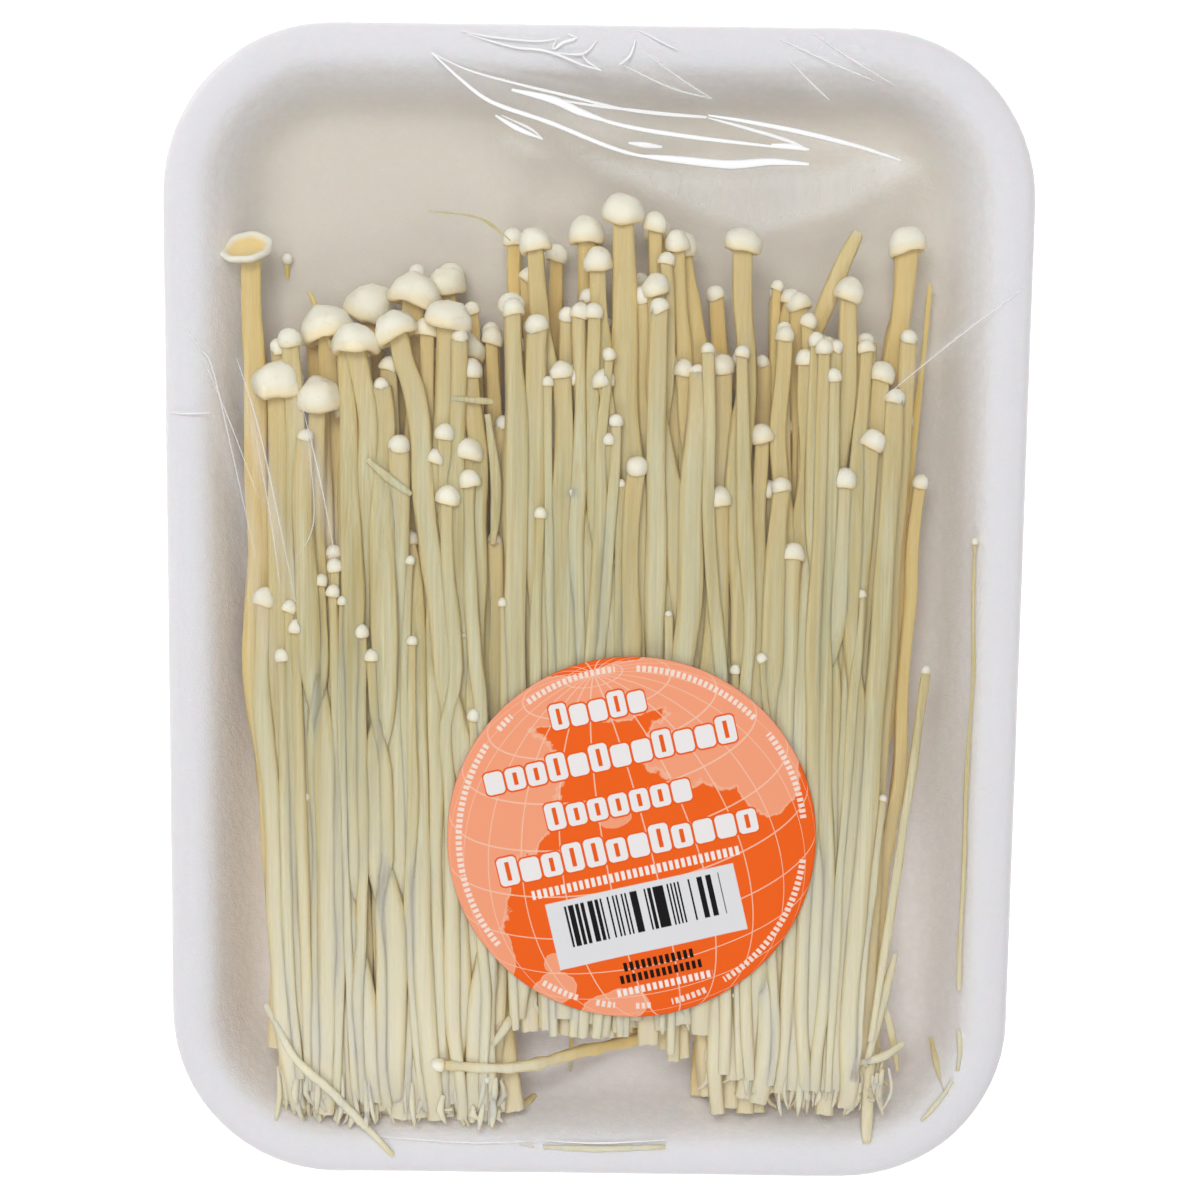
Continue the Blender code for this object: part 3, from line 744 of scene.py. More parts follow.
def keep(obj, slot_name, *nodes):
    """The lines that every piece needs: the body it rides on, and the CAD nodes it stands for, hidden. slot_name is
    not used.
    """
    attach(obj, BODY)
    if nodes:
        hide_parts(*nodes)
    return obj


def loft(name, rings):
    """A mesh through rings of points that all have the same count, with its middle closed."""
    count = len(rings[0])
    points = np.concatenate(rings) * MM
    faces = []
    for level in range(len(rings) - 1):
        a, b = level * count, (level + 1) * count
        for i in range(count):
            j = (i + 1) % count
            faces.append((a + i, a + j, b + j, b + i))
    points = points.tolist()
    centre = np.mean(rings[-1], axis=0) * MM
    points.append(centre.tolist())
    last = (len(rings) - 1) * count
    faces += [(last + i, last + (i + 1) % count, len(points) - 1) for i in range(count)]
    mesh = bpy.data.meshes.new(name)
    mesh.from_pydata(points, [], faces)
    mesh.shade_smooth()
    obj = bpy.data.objects.new(name, mesh)
    bpy.context.scene.collection.objects.link(obj)
    return obj


def at_height(ring, height):
    """Flat ring points with a height."""
    return np.column_stack([ring, np.broadcast_to(height, len(ring))])


def build_tray():
    """The foam tray, with a fine wave in its rim and dents in its walls."""
    rings = [at_height(rounded_ring(inset), height) for inset, height in TRAY_SECTIONS]
    floor_ring = rings[-1]
    for share in (0.9, 0.78, 0.64, 0.5, 0.36, 0.22, 0.1):
        rings.append(floor_ring * (share, share, 1.0))
    tray = loft("foam_tray_finished", rings)
    for vertex in tray.data.vertices:
        place = vertex.co / MM
        dent = noise.noise(place * 0.06) * 0.25 + noise.noise(place * 0.2) * 0.07
        vertex.co.z += dent * MM * (0.4 if place.z > 19 else 1.0)
    wall = tray.modifiers.new("wall", "SOLIDIFY")
    wall.thickness = FOAM * MM
    wall.offset = -1
    tray.data.materials.append(foam_material())
    return keep(tray, "foam", "foam_tray")


# Soft pale streaks where the film is doubled, and painted highlights where it catches light: two ends, half width,
# strength.
HAZE_AND_HIGHLIGHT_STREAKS = [
    ((-22.0, 85.5), (12.0, 74.0), 1.6, 0.16),
    ((12.0, 73.5), (33.0, 73.0), 1.8, 0.2),
    ((-13.5, 84.0), (14.5, 77.0), 1.5, 0.14),
    ((17.0, 80.5), (50.0, 73.0), 1.4, 0.16),
    ((-15.0, 76.5), (-8.0, 73.5), 0.9, 0.2),
    ((-63.5, 43.0), (-54.5, 9.0), 1.6, 0.22),
    ((-57.5, 41.5), (-48.0, 2.5), 1.4, 0.2),
    ((-47.0, 35.0), (-41.5, 9.5), 1.4, 0.2),
    ((-59.0, 20.0), (-50.0, -14.0), 1.5, 0.12),
    ((45.5, 36.5), (67.5, 54.0), 0.9, 0.12),
    ((28.0, 92.5), (43.0, 86.0), 1.2, 0.14),
    ((29.5, 89.0), (36.0, 83.0), 1.2, 0.14),
    ((33.0, 94.0), (52.0, 84.0), 1.4, 0.16),
    ((3.5, 88.0), (17.5, 83.0), 1.0, 0.16),
    ((-21.0, 93.0), (4.0, 91.0), 2.0, 0.2),
    ((-69.0, -80.0), (-69.0, 80.0), 2.5, 0.22),
    ((69.0, -80.0), (69.0, 80.0), 1.6, 0.12),
]
# The broad pale patch of painted reflection over the cap end: its outline, and how strong it is.
PALE_PATCH = [
    (-7.5, 77.0), (1.0, 74.0), (17.5, 72.0), (33.0, 72.5), (46.5, 75.5), (51.5, 73.0),
    (49.0, 71.0), (39.5, 65.5), (25.5, 61.5), (17.5, 64.0), (6.5, 68.5), (-1.0, 72.0),
]
PALE_STRENGTH = 0.24


def patch_strength(x, y):
    """1 inside the pale patch, 0 outside, with a soft edge, at arrays of x and y."""
    inside = np.zeros(x.shape, bool)
    nearest = np.full(x.shape, 1e3)
    for (x0, y0), (x1, y1) in zip(PALE_PATCH, PALE_PATCH[1:] + PALE_PATCH[:1]):
        crosses = (y0 > y) != (y1 > y)
        inside ^= crosses & (x < x0 + (y - y0) * (x1 - x0) / (y1 - y0 + (y1 == y0) * 1e-9))
        share = np.clip(((x - x0) * (x1 - x0) + (y - y0) * (y1 - y0)) / ((x1 - x0) ** 2 + (y1 - y0) ** 2), 0, 1)
        nearest = np.minimum(nearest, np.hypot(x - x0 - share * (x1 - x0), y - y0 - share * (y1 - y0)))
    return smooth((np.where(inside, nearest, -nearest) + 0.6) / 2.4)


def streak_strength(x, y):
    """How white the film is at arrays of x and y."""
    strength = np.zeros_like(x)
    for (x0, y0), (x1, y1), half, most in HAZE_AND_HIGHLIGHT_STREAKS:
        squared = (x1 - x0) ** 2 + (y1 - y0) ** 2
        share = np.clip(((x - x0) * (x1 - x0) + (y - y0) * (y1 - y0)) / squared, 0, 1)
        off = np.hypot(x - x0 - share * (x1 - x0), y - y0 - share * (y1 - y0))
        white = most * np.exp(-((off / half) ** 2)) * (0.35 + 0.65 * np.sin(np.pi * share))
        strength = np.maximum(strength, white)
    return strength


def build_film(finish):
    """The clear film: in under the tray, up its sides in shallow pleats, over the rim and the mushrooms."""
    rings = []
    for inset, height in FILM_SIDES:
        ring = rounded_ring(inset, spans=(48, 60))
        turn = np.arctan2(ring[:, 1] / TRAY_LENGTH, ring[:, 0] / TRAY_WIDTH)
        pleats = 0.35 * np.sin(turn * 90 + 3 * np.sin(turn * 7))
        pleats = pleats * np.clip(height / 8, 0, 1) * np.clip((19 - height) / 6, 0, 1)
        corner = np.abs(np.sin(2 * turn)) ** 4
        scale = 1 + pleats * (0.3 + corner) / 90
        rings.append(at_height(ring * scale[:, None], height))
    rim = rings[-1]
    steps = 72
    for step in range(1, steps):
        share = 1 - step / steps
        x, y = rim[:, 0] * share, rim[:, 1] * share
        rings.append(np.column_stack([x, y, crown_height(x, y)]))
    film = loft("clear_film_finished", rings)
    points = np.array([v.co for v in film.data.vertices]) / MM
    # Painted highlights and a painted reflection: the streaks and the pale patch whiten the film's top, over a slight
    # milkiness all over.
    haze_and_highlight = streak_strength(points[:, 0], points[:, 1]) + PALE_STRENGTH * patch_strength(points[:, 0], points[:, 1])
    haze_and_highlight = 0.025 + haze_and_highlight * (points[:, 2] > 19)
    made = film.data.attributes.new("haze_and_highlight", "FLOAT", "POINT")
    made.data.foreach_set("value", haze_and_highlight.astype(np.float32))
    film.data.materials.append(finish)
    keep(film, "film", "clear_film")
    return film


# The film's sharp folds, white as painted highlights: points along each, half width in mm, and how white it is.
FOLDS = [
    ([(-26.5, 89.5), (-22.0, 85.5), (-17.0, 82.0), (-8.0, 79.0), (1.0, 75.5), (6.5, 74.0), (12.0, 73.5)], 0.38, 1.0),
    ([(6.5, 74.0), (12.0, 73.5), (20.5, 72.8), (27.0, 73.3), (33.0, 73.0)], 0.75, 1.0),
    ([(-26.5, 89.5), (-21.0, 87.0), (-13.5, 85.0), (-4.5, 83.0), (3.5, 81.2), (10.0, 80.4), (16.8, 80.0)], 0.26, 0.9),
    ([(-14.0, 84.0), (-7.5, 82.5), (-3.5, 80.8), (1.0, 79.3)], 0.7, 1.0),
    ([(-3.5, 80.8), (1.0, 79.3), (6.5, 78.1), (14.5, 77.0), (23.0, 76.1), (32.5, 75.2)], 0.38, 1.0),
    ([(32.8, 75.2), (30.0, 76.5), (23.0, 78.5), (17.0, 80.0)], 0.3, 0.95),
    ([(27.0, 76.0), (30.0, 75.7), (33.0, 75.3)], 0.5, 1.0),
    ([(-7.5, 82.7), (-1.0, 81.7), (9.0, 80.7), (16.8, 80.2)], 0.26, 0.9),
    ([(17.0, 80.4), (22.5, 79.6), (30.0, 78.3), (36.5, 76.9), (42.0, 75.5), (47.5, 73.8)], 0.42, 1.0),
    ([(-16.5, 80.0), (-13.0, 78.0), (-9.0, 76.4)], 0.45, 1.0),
    ([(-9.0, 76.4), (-11.0, 78.0), (-15.5, 80.0)], 0.22, 0.9),
    ([(4.5, 76.0), (7.0, 75.7), (9.8, 75.4)], 0.5, 0.95),
    ([(-21.0, 92.5), (-14.0, 90.6), (-8.5, 90.0), (-3.0, 88.0), (0.2, 87.1)], 0.26, 0.9),
    ([(-22.0, 93.0), (-17.5, 92.1), (-10.0, 91.5), (-6.5, 92.0)], 0.22, 0.8),
    ([(-7.0, 91.8), (-7.6, 90.2), (-5.8, 91.4), (-3.8, 92.0), (-5.2, 92.7)], 0.28, 0.95),
    ([(-8.5, 90.0), (-3.0, 89.6), (-0.6, 91.8)], 0.22, 0.85),
    ([(-3.0, 89.5), (-2.0, 88.4), (0.2, 87.1)], 0.2, 0.85),
    ([(2.8, 88.0), (4.6, 89.5), (5.4, 92.0)], 0.26, 0.9),
    ([(5.5, 93.6), (9.5, 91.6), (12.0, 90.4)], 0.18, 0.7),
    ([(0.0, 93.2), (1.0, 91.5)], 0.18, 0.7),
    ([(28.0, 92.3), (35.5, 89.0), (43.0, 86.0)], 0.2, 0.35),
    ([(29.5, 89.0), (33.5, 85.2), (36.0, 83.0)], 0.22, 0.35),
    ([(33.0, 93.4), (39.0, 89.5), (46.0, 85.5)], 0.2, 0.35),
    ([(3.5, 88.0), (11.0, 84.6), (17.5, 83.0)], 0.2, 0.35),
    ([(7.5, 89.5), (13.0, 85.7), (17.5, 83.0)], 0.2, 0.3),
    ([(-65.5, 46.0), (-63.5, 43.0), (-61.5, 40.0), (-58.5, 27.0), (-54.5, 9.0)], 0.13, 0.35),
    ([(-63.5, 43.0), (-59.0, 32.0), (-54.0, 19.0)], 0.12, 0.3),
    ([(-57.5, 41.5), (-53.5, 28.5), (-48.0, 2.5)], 0.13, 0.35),
    ([(-47.0, 35.0), (-44.0, 22.5), (-41.5, 9.5)], 0.13, 0.35),
    ([(-55.0, 32.0), (-52.0, 15.5), (-50.5, 4.0)], 0.11, 0.3),
    ([(-46.0, 30.5), (-45.0, 16.0), (-48.0, 9.5)], 0.11, 0.3),
    ([(-68.5, 32.7), (-65.5, 32.5), (-62.0, 32.7)], 0.22, 0.6),
    ([(45.5, 36.5), (56.5, 45.5), (67.5, 54.0)], 0.18, 0.35),
    ([(-7.0, -88.0), (2.0, -88.3), (13.0, -87.6)], 0.2, 0.75),
    ([(-36.0, -87.5), (-20.0, -88.5), (-8.0, -88.0)], 0.18, 0.4),
]


def build_folds(tree, finish):
    """The film's sharp folds as raised glossy bands that lie on it, painted white as highlights."""
    lines = []
    for points, half, white in FOLDS:
        path = np.array(points)
        count = len(path)
        heights = crown_height(path[:, 0], path[:, 1]) + 0.06
        outside = np.maximum(abs(path[:, 1]) - 92.0, 0)
        heights = heights - outside * 0.25
        girth = half * (0.25 + 0.75 * np.sin(np.pi * np.linspace(0.04, 0.96, count)))
        lines.append({"points": np.column_stack([path, heights]), "girth": girth, "tone": white})
    values = {"Finish": finish, "Thickness": 0.3, "Ridge depth": 0.0001, "Step": 0.0007, "Sides": 8}
    folds = grow("film_folds", lines, tree, values)
    white = folds.data.attributes["tone"]
    values = np.zeros(len(folds.data.vertices), np.float32)
    white.data.foreach_get("value", values)
    made = folds.data.attributes.new("haze_and_highlight", "FLOAT", "POINT")
    made.data.foreach_set("value", values)
    return keep(folds, "film")


# The label's print, in mm from its middle with its rows level.
LABEL_GLOBE_TIP = 21.6
LABEL_PATCHES = [
    (-20.0, 14.0, 11.0, 13.0), (-27.0, 0.0, 6.0, 12.0), (-8.0, 25.0, 9.0, 4.0), (8.0, 24.0, 12.0, 5.0),
    (17.0, 15.0, 11.0, 9.0), (24.0, 8.0, 5.0, 8.0), (-27.0, -14.0, 4.0, 6.0), (-17.0, -17.5, 1.6, 1.6),
    (-18.0, -22.0, 4.0, 3.0), (-9.0, -27.0, 6.0, 3.0), (-2.0, 4.0, 2.5, 1.5),
]
# Rows of blocks: centre, half length, half height, how many blocks.
LABEL_ROWS = [
    (-0.6, 21.9, 8.0, 1.75, 5), (-0.4, 13.9, 21.0, 1.85, 12), (-0.8, 6.0, 12.2, 1.85, 7), (-0.9, -1.3, 21.7, 1.95, 12),
]
# Rows of dashes: centre, half length, half height, colour.
LABEL_DASHES = [
    (-0.5, -5.7, 17.4, 0.75, (242, 232, 226)), (-0.1, -20.8, 6.0, 0.75, (30, 18, 14)),
    (-0.3, -22.8, 6.9, 0.7, (30, 18, 14)), (0.0, -24.9, 8.0, 0.6, (242, 232, 226)),
]


def label_material():
    """The label's print: an orange globe with peach lands, rows of plain blocks and a panel of plain bars."""
    made, tree, shader = finish_material("label_print", 0.45, Specular_IOR_Level=0.25)
    place = node(tree, "ShaderNodeTexCoord").outputs["Object"]
    links = {"Vector": place, "Location": (-LABEL_AT[0] * MM, -LABEL_AT[1] * MM, 0)}
    centred = node(tree, "ShaderNodeMapping", links).outputs[0]
    links = {"Vector": centred, "Angle": math.radians(-LABEL_TURN)}
    turned = node(tree, "ShaderNodeVectorRotate", links, rotation_type="Z_AXIS").outputs[0]
    parts = node(tree, "ShaderNodeSeparateXYZ", {0: turned}).outputs
    x = over(tree, parts["X"], MM)
    y = over(tree, parts["Y"], MM)
    radius = length(tree, x, y)

    def inside(value, low, high, soft=0.08):
        """1 between low and high, and 0 outside them."""
        above = ramp(tree, value, low - soft, low + soft)
        return times(tree, above, ramp(tree, value, high - soft, high + soft, 1.0, 0.0))

    # A globe drawn in lines, its pole near the label's upper edge.
    tip = math.radians(LABEL_GLOBE_TIP)
    across, up = over(tree, x, LABEL_RADIUS), over(tree, y, LABEL_RADIUS)
    reach = plus(tree, times(tree, across, across), times(tree, up, up))
    front = maths(tree, "SQRT", larger(tree, minus(tree, 1.0, reach), 0.0))
    pole = plus(tree, times(tree, up, math.cos(tip)), times(tree, front, math.sin(tip)))
    ahead = minus(tree, times(tree, front, math.cos(tip)), times(tree, up, math.sin(tip)))
    latitude = maths(tree, "ARCSINE", pole)
    longitude = maths(tree, "ARCTAN2", across, ahead)
    ring_size = maths(tree, "SQRT", larger(tree, minus(tree, 1.0, times(tree, pole, pole)), 0.0))

    def grid(value, offset, width):
        """Thin lines at every 15 degrees."""
        cell = plus(tree, over(tree, value, math.radians(15)), offset)
        off = maths(tree, "ABSOLUTE", minus(tree, maths(tree, "FRACT", cell), 0.5))
        return maths(tree, "LESS_THAN", off, width)

    meridians = grid(longitude, 0.15, over(tree, 0.016, larger(tree, ring_size, 0.05)))
    parallels = grid(latitude, 0.1, 0.017)
    thin = larger(tree, meridians, parallels)
    # Peach patches with ragged coasts, where they lie on the globe and how wide they are.
    links = {"Vector": turned, "Scale": 70.0, "Detail": 5.0, "Roughness": 0.62}
    coast = node(tree, "ShaderNodeTexNoise", links).outputs[0]
    ragged = times(tree, minus(tree, coast, 0.5), 1.5)
    land = None
    for centre_x, centre_y, half_x, half_y in LABEL_PATCHES:
        off_x = over(tree, minus(tree, x, centre_x), half_x)
        off_y = over(tree, minus(tree, y, centre_y), half_y)
        away = length(tree, off_x, off_y)
        land = away if land is None else smaller(tree, land, away)
    shore = plus(tree, land, ragged)
    base = mix_colour(tree, ramp(tree, shore, 0.99, 1.01, 1.0, 0.0), colour(238, 98, 28), colour(242, 158, 122))
    edge = times(tree, ramp(tree, shore, 0.96, 0.99), ramp(tree, shore, 1.01, 1.04, 1.0, 0.0))
    base = mix_colour(tree, times(tree, edge, 0.7), base, colour(240, 190, 160))
    base = mix_colour(tree, times(tree, thin, 0.75), base, colour(242, 200, 176))

    def rounded(off_x, off_y, half_x, half_y, corner):
        """How far a point lies outside a rectangle with rounded corners, both measured from its centre."""
        far_x = minus(tree, off_x, half_x - corner)
        far_y = minus(tree, off_y, minus(tree, half_y, corner))
        out_x, out_y = larger(tree, far_x, 0.0), larger(tree, far_y, 0.0)
        out = length(tree, out_x, out_y)
        return minus(tree, out, corner)

    # Rows of plain white blocks with a slot in each and an orange edge.
    for centre_x, centre_y, half_length, half_height, blocks in LABEL_ROWS:
        along = times(tree, plus(tree, x, half_length - centre_x), blocks / (2 * half_length))
        cell = maths(tree, "FLOOR", along)
        taller = white_noise(tree, plus(tree, cell, centre_y))
        rise = times(tree, maths(tree, "GREATER_THAN", taller, 0.7), half_height * 0.22)
        pitch = 2 * half_length / blocks
        off_x = times(tree, maths(tree, "ABSOLUTE", minus(tree, maths(tree, "FRACT", along), 0.5)), pitch)
        off_y = maths(tree, "ABSOLUTE", minus(tree, minus(tree, y, centre_y), rise))
        tall = plus(tree, rise, half_height)
        block = rounded(off_x, off_y, pitch * 0.5 - 0.2, tall, 0.75)
        slot = rounded(off_x, off_y, pitch * 0.1, minus(tree, tall, 0.8), 0.15)
        filled = maths(tree, "LESS_THAN", taller, 0.35)
        within = maths(tree, "LESS_THAN", maths(tree, "ABSOLUTE", minus(tree, x, centre_x)), half_length)
        rim = times(tree, within, ramp(tree, block, 0.25, 0.35, 1.0, 0.0))
        base = mix_colour(tree, rim, base, colour(232, 92, 22))
        face = times(tree, within, ramp(tree, block, -0.05, 0.05, 1.0, 0.0))
        face = times(tree, face, larger(tree, ramp(tree, slot, -0.05, 0.05), filled))
        base = mix_colour(tree, face, base, colour(234, 231, 230))
    # Thin rows of dashes, white or dark, and dashes that run round the edge.
    for centre_x, centre_y, half_length, half_height, shade in LABEL_DASHES:
        dash = maths(tree, "LESS_THAN", maths(tree, "FRACT", x), 0.62)
        dash = times(tree, dash, inside(x, centre_x - half_length, centre_x + half_length))
        dash = times(tree, dash, inside(y, centre_y - half_height, centre_y + half_height))
        base = mix_colour(tree, dash, base, colour(*shade))
    angle = maths(tree, "ARCTAN2", y, x)
    words = times(tree, angle, 30.0)
    gaps = white_noise(tree, maths(tree, "FLOOR", times(tree, angle, 9.0)))
    dash = maths(tree, "LESS_THAN", maths(tree, "FRACT", words), 0.62)
    dash = times(tree, dash, maths(tree, "GREATER_THAN", gaps, 0.14))
    dash = times(tree, dash, inside(radius, 27.6, 28.6))
    base = mix_colour(tree, times(tree, dash, 0.9), base, colour(242, 226, 214))
    # The white panel and its plain bars.
    panel = times(tree, inside(x, -16.2, 15.2), inside(y, -18.9, -7.6))
    base = mix_colour(tree, panel, base, colour(222, 222, 224))
    cell = maths(tree, "FLOOR", times(tree, x, 3.4))
    dark = maths(tree, "GREATER_THAN", white_noise(tree, cell), 0.5)
    bars = times(tree, dark, times(tree, inside(x, -13.3, 12.5), inside(y, -15.6, -8.6)))
    base = mix_colour(tree, bars, base, colour(24, 22, 24))
    tree.links.new(base, shader.inputs["Base Color"])
    bump(tree, shader, object_noise(tree, 1200, detail=3.0), 0.08, 0.0001)
    return made


def build_label():
    """The round label, a thin disc with a soft edge that lies on the film and dips a little with it."""
    rings = []
    height = FILM_CROWN + 0.55  # it lies on the film's highest part
    around = np.linspace(0, 2 * math.pi, 144, endpoint=False)
    circle = np.column_stack([np.cos(around), np.sin(around)])
    for share, drop in ((0.996, 0.22), (1.0, 0.12), (0.997, 0.02), (0.985, 0.0)):
        rings.append(at_height(circle * LABEL_RADIUS * share, height - drop))
    for share in np.linspace(0.94, 0.03, 22):
        rings.append(at_height(circle * LABEL_RADIUS * share, height))
    for ring in rings:
        ring[:, 0] += LABEL_AT[0]
        ring[:, 1] += LABEL_AT[1]
        ring[:, 2] += 0.10 * np.sin(ring[:, 0] * 0.35) * np.cos(ring[:, 1] * 0.06) - 0.04
    label = loft("round_label_finished", rings)
    label.data.materials.append(label_material())
    return keep(label, "label", "round_label")


def open_cap(place, axis, width, finish):
    """An old cap that has opened into a shallow dish with a wavy, rolled rim, tan inside."""
    # Half widths and heights from the underside, over the rim, to the dish's middle, and how pale each ring is.
    profile = [(0.3, -0.32, 0.1), (0.72, -0.12, 0.2), (0.96, 0.04, 0.4), (1.03, 0.16, 0.5), (0.97, 0.28, 0.5),
               (0.84, 0.26, 0.2), (0.66, 0.12, -0.3), (0.4, 0.02, -0.5), (0.12, 0.0, -0.5)]
    around = np.linspace(0, 2 * math.pi, 40, endpoint=False)
    rings = []
    for share, height, _ in profile:
        wave = 1 + 0.05 * np.sin(3 * around + 0.6) + 0.03 * np.sin(7 * around)
        lift = 0.08 * share * np.sin(2 * around + 1.2)
        reach = share * wave
        ring = np.column_stack([reach * np.cos(around), reach * np.sin(around), height + lift])
        rings.append(ring * width / 2)
    cap = loft("open_cap", rings)
    pale = np.concatenate([np.full(len(around), ring[2]) for ring in profile] + [[-0.5]]).astype(np.float32)
    cap.data.attributes.new("dome", "FLOAT", "POINT").data.foreach_set("value", pale)
    turn = Vector(axis).to_track_quat("Z", "X").to_matrix().to_4x4()
    cap.data.transform(Matrix.Translation(Vector(place) * MM) @ turn)
    cap.data.materials.append(finish)
    return cap


def joined(obj, other):
    """obj with other's mesh added to it."""
    bpy.ops.object.select_all(action="DESELECT")
    other.select_set(True)
    obj.select_set(True)
    bpy.context.view_layer.objects.active = obj
    bpy.ops.object.join()
    return obj


def full_line(read, stem_share, cap_share, wave=1.0):
    """A CAD mushroom's line with finer steps, a slight wave, and its cap's top where the CAD has it."""
    axis, size = cap_form(read["width"] * cap_share, read["direction"])
    neck = read["top"] - read["direction"] * size[2] * 0.7
    path = read["centres"]
    path = np.vstack([path[path[:, 1] < neck[1] - 1.5], neck])
    count = max(10, int((neck[1] - path[0, 1]) / 4))
    along = np.linspace(path[0, 1], neck[1], count)
    points = np.column_stack([np.interp(along, path[:, 1], path[:, place]) for place in range(3)])
    fade = smooth((neck[1] - along) / 20)
    sway = 0.6 * np.sin(along * 0.09 + draw.uniform(0, 6))
    sway = sway + 0.4 * np.sin(along * 0.19 + draw.uniform(0, 6))
    points[:, 0] += sway * fade * wave
    girth = shaped_girth(count, float(np.median(read["girth"])) * stem_share)
    return {"points": points, "girth": girth, "tone": draw.uniform(0, 1), "axis": axis, "cap": size}


OPEN_CAPPED = "mushroom_left_01"
CAPLESS = "mushroom_right_12"
# How much fuller the finished stems and caps are than the CAD's, by tuft.
FULLER = {"left": (1.2, 1.17), "middle": (1.12, 1.14), "right": (1.12, 1.14), "loose": (0.62, 0.7, 0.3)}


def build_mushrooms():
    """Every mushroom: the CAD ones rebuilt one for one, and the rest that fill the bunch."""
    tree = mushroom_tree()
    finishes = {"Stem finish": stem_material(), "Cap finish": cap_material()}
    names = sorted(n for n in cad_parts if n.startswith(("mushroom_", "loose_mushroom_")))
    fixed = {}
    for name in names:
        if name == "loose_mushroom_foot":
            continue
        tuft = "loose" if name.startswith("loose") else name.split("_")[1]
        line = full_line(read_cad_mushroom(name), *FULLER[tuft])
        if name in (OPEN_CAPPED, CAPLESS):
            width, line["cap"] = line["cap"][0], (0.05, 0.05, 0.05)
        if name == CAPLESS:
            line["girth"] = line["girth"] * np.linspace(0.75, 0.35, len(line["girth"]))
        fixed[name] = line
        grown = grow(name + "_grown", [line], tree, finishes)
        if name == OPEN_CAPPED:
            place = line["points"][-1] + (-0.6, 1.2, 0.6)
            grown = joined(grown, open_cap(place, (-0.1, 0.86, 0.5), width, finishes["Cap finish"]))
        keep(grown, "flesh", name)
    rows, tufts = fill_rows()
    stations, x, z = settle(rows, list(fixed.values()))
    lines = fill_lines(rows, stations, x, z)
    for tuft in ("left", "middle", "right"):
        chosen = [line for line, where in zip(lines, tufts) if where == tuft]
        values = dict(finishes, **{"Stem sides": 16, "Stem step": 0.003, "Cap segments": 16})
        keep(grow(f"lower_mushrooms_{tuft}", chosen, tree, values), "flesh", f"lower_stems_{tuft}")
    return tree, finishes


def build_foot_mushroom(tree, finishes):
    """The mushroom that lies across under the label, its bud up on the left tuft's feet."""
    line = {
        "points": np.array([
            (15.5, -72.2, 10.0), (8.0, -73.6, 10.5), (-0.5, -74.8, 13.0), (-12.0, -75.4, 20.5), (-24.5, -74.4, 22.6),
        ]),
        "girth": [0.6, 0.9, 0.95, 0.9, 0.7],
        "tone": 0.2,
        "axis": (-1.0, 0.1, 0.1),
        "cap": (2.4, 2.2, 2.2),
    }
    return keep(grow("loose_mushroom_foot_grown", [line], tree, finishes), "flesh", "loose_mushroom_foot")


# Loose scraps of stem, in mm: points, widest half width, and how tan each one is.
SCRAPS = [
    ([(-53.5, -65.0, 21.0), (-48.5, -73.5, 23.3), (-43.2, -78.8, 23.3), (-37.5, -85.5, 23.3),
      (-32.5, -91.0, 23.3)], 0.75, 0.1),
    ([(47.0, -60.0, 17.5), (46.8, -75.0, 18.4), (46.6, -85.0, 19.3), (46.6, -88.0, 20.0)], 1.1, 0.2),
    ([(50.5, -55.5, 19.0), (48.5, -64.0, 20.0), (46.0, -74.5, 20.2)], 0.9, 0.1),
    ([(52.5, -71.0, 18.5), (49.0, -73.0, 19.8), (44.5, -74.0, 20.4)], 0.8, 0.0),
    ([(48.0, -62.0, 20.0), (50.0, -68.0, 18.0), (52.0, -77.0, 15.0)], 0.7, 0.3),
    ([(58.0, -72.5, 9.2), (58.6, -76.0, 10.0), (59.6, -79.5, 13.0)], 0.6, 0.4),
    ([(61.6, -69.0, 18.0), (61.9, -72.0, 18.4), (61.4, -75.5, 18.8)], 0.5, 0.9),
    ([(60.5, -77.0, 20.0), (58.5, -80.5, 19.9), (55.5, -84.0, 20.0)], 0.45, 1.0),
    ([(-10.0, -64.0, 16.0), (-13.5, -68.0, 20.0), (-16.0, -71.5, 21.0)], 0.8, 0.3),
    ([(-15.0, -79.0, 9.0), (-13.8, -83.0, 7.5), (-11.5, -84.5, 7.0), (-9.0, -83.5, 7.4)], 0.8, 1.0),
    ([(-7.5, -89.3, 20.1), (2.0, -89.5, 20.1), (13.0, -89.0, 20.1)], 0.65, 0.2),
    ([(-11.5, -89.0, 20.1), (-9.0, -89.3, 20.1)], 0.3, 0.9),
    ([(-2.0, -71.0, 7.5), (6.0, -73.5, 7.0), (15.5, -74.0, 7.0)], 1.0, 0.9),
    ([(-3.0, -72.0, 6.0), (-3.2, -81.0, 5.0)], 0.45, 0.8),
    ([(-27.0, 65.0, 20.0), (-19.0, 64.0, 20.0), (-14.0, 60.5, 20.0)], 0.2, 0.8),
    ([(-36.5, 25.5, 21.6), (-33.0, 22.5, 22.0), (-29.5, 20.0, 21.6)], 0.75, 0.2),
    ([(-23.5, -3.0, 21.4), (-19.5, -2.5, 21.6)], 0.8, 0.1),
    ([(-23.0, 35.5, 21.0), (-16.5, 35.0, 21.4)], 0.8, 0.5),
    ([(41.5, 62.5, 16.5), (39.0, 57.0, 16.5), (36.0, 49.0, 15.5), (33.5, 42.0, 14.5)], 1.5, 0.1),
    ([(-47.0, 52.0, 12.0), (-44.5, 47.0, 14.0), (-43.0, 43.0, 16.0)], 0.5, 0.5),
    ([(-17.5, 33.0, 20.5), (-16.0, 22.0, 20.8), (-16.5, 12.0, 20.0)], 0.9, 0.5),
]
# The frayed feet: each tuft's span of x, where its feet end, and how many fibres hang there.
FRAYED = [
    ((-52.0, -14.0), -84.5, 260), ((-12.0, 18.0), -67.0, 80), ((19.0, 34.0), -78.0, 90), ((30.0, 50.0), -81.5, 130),
]
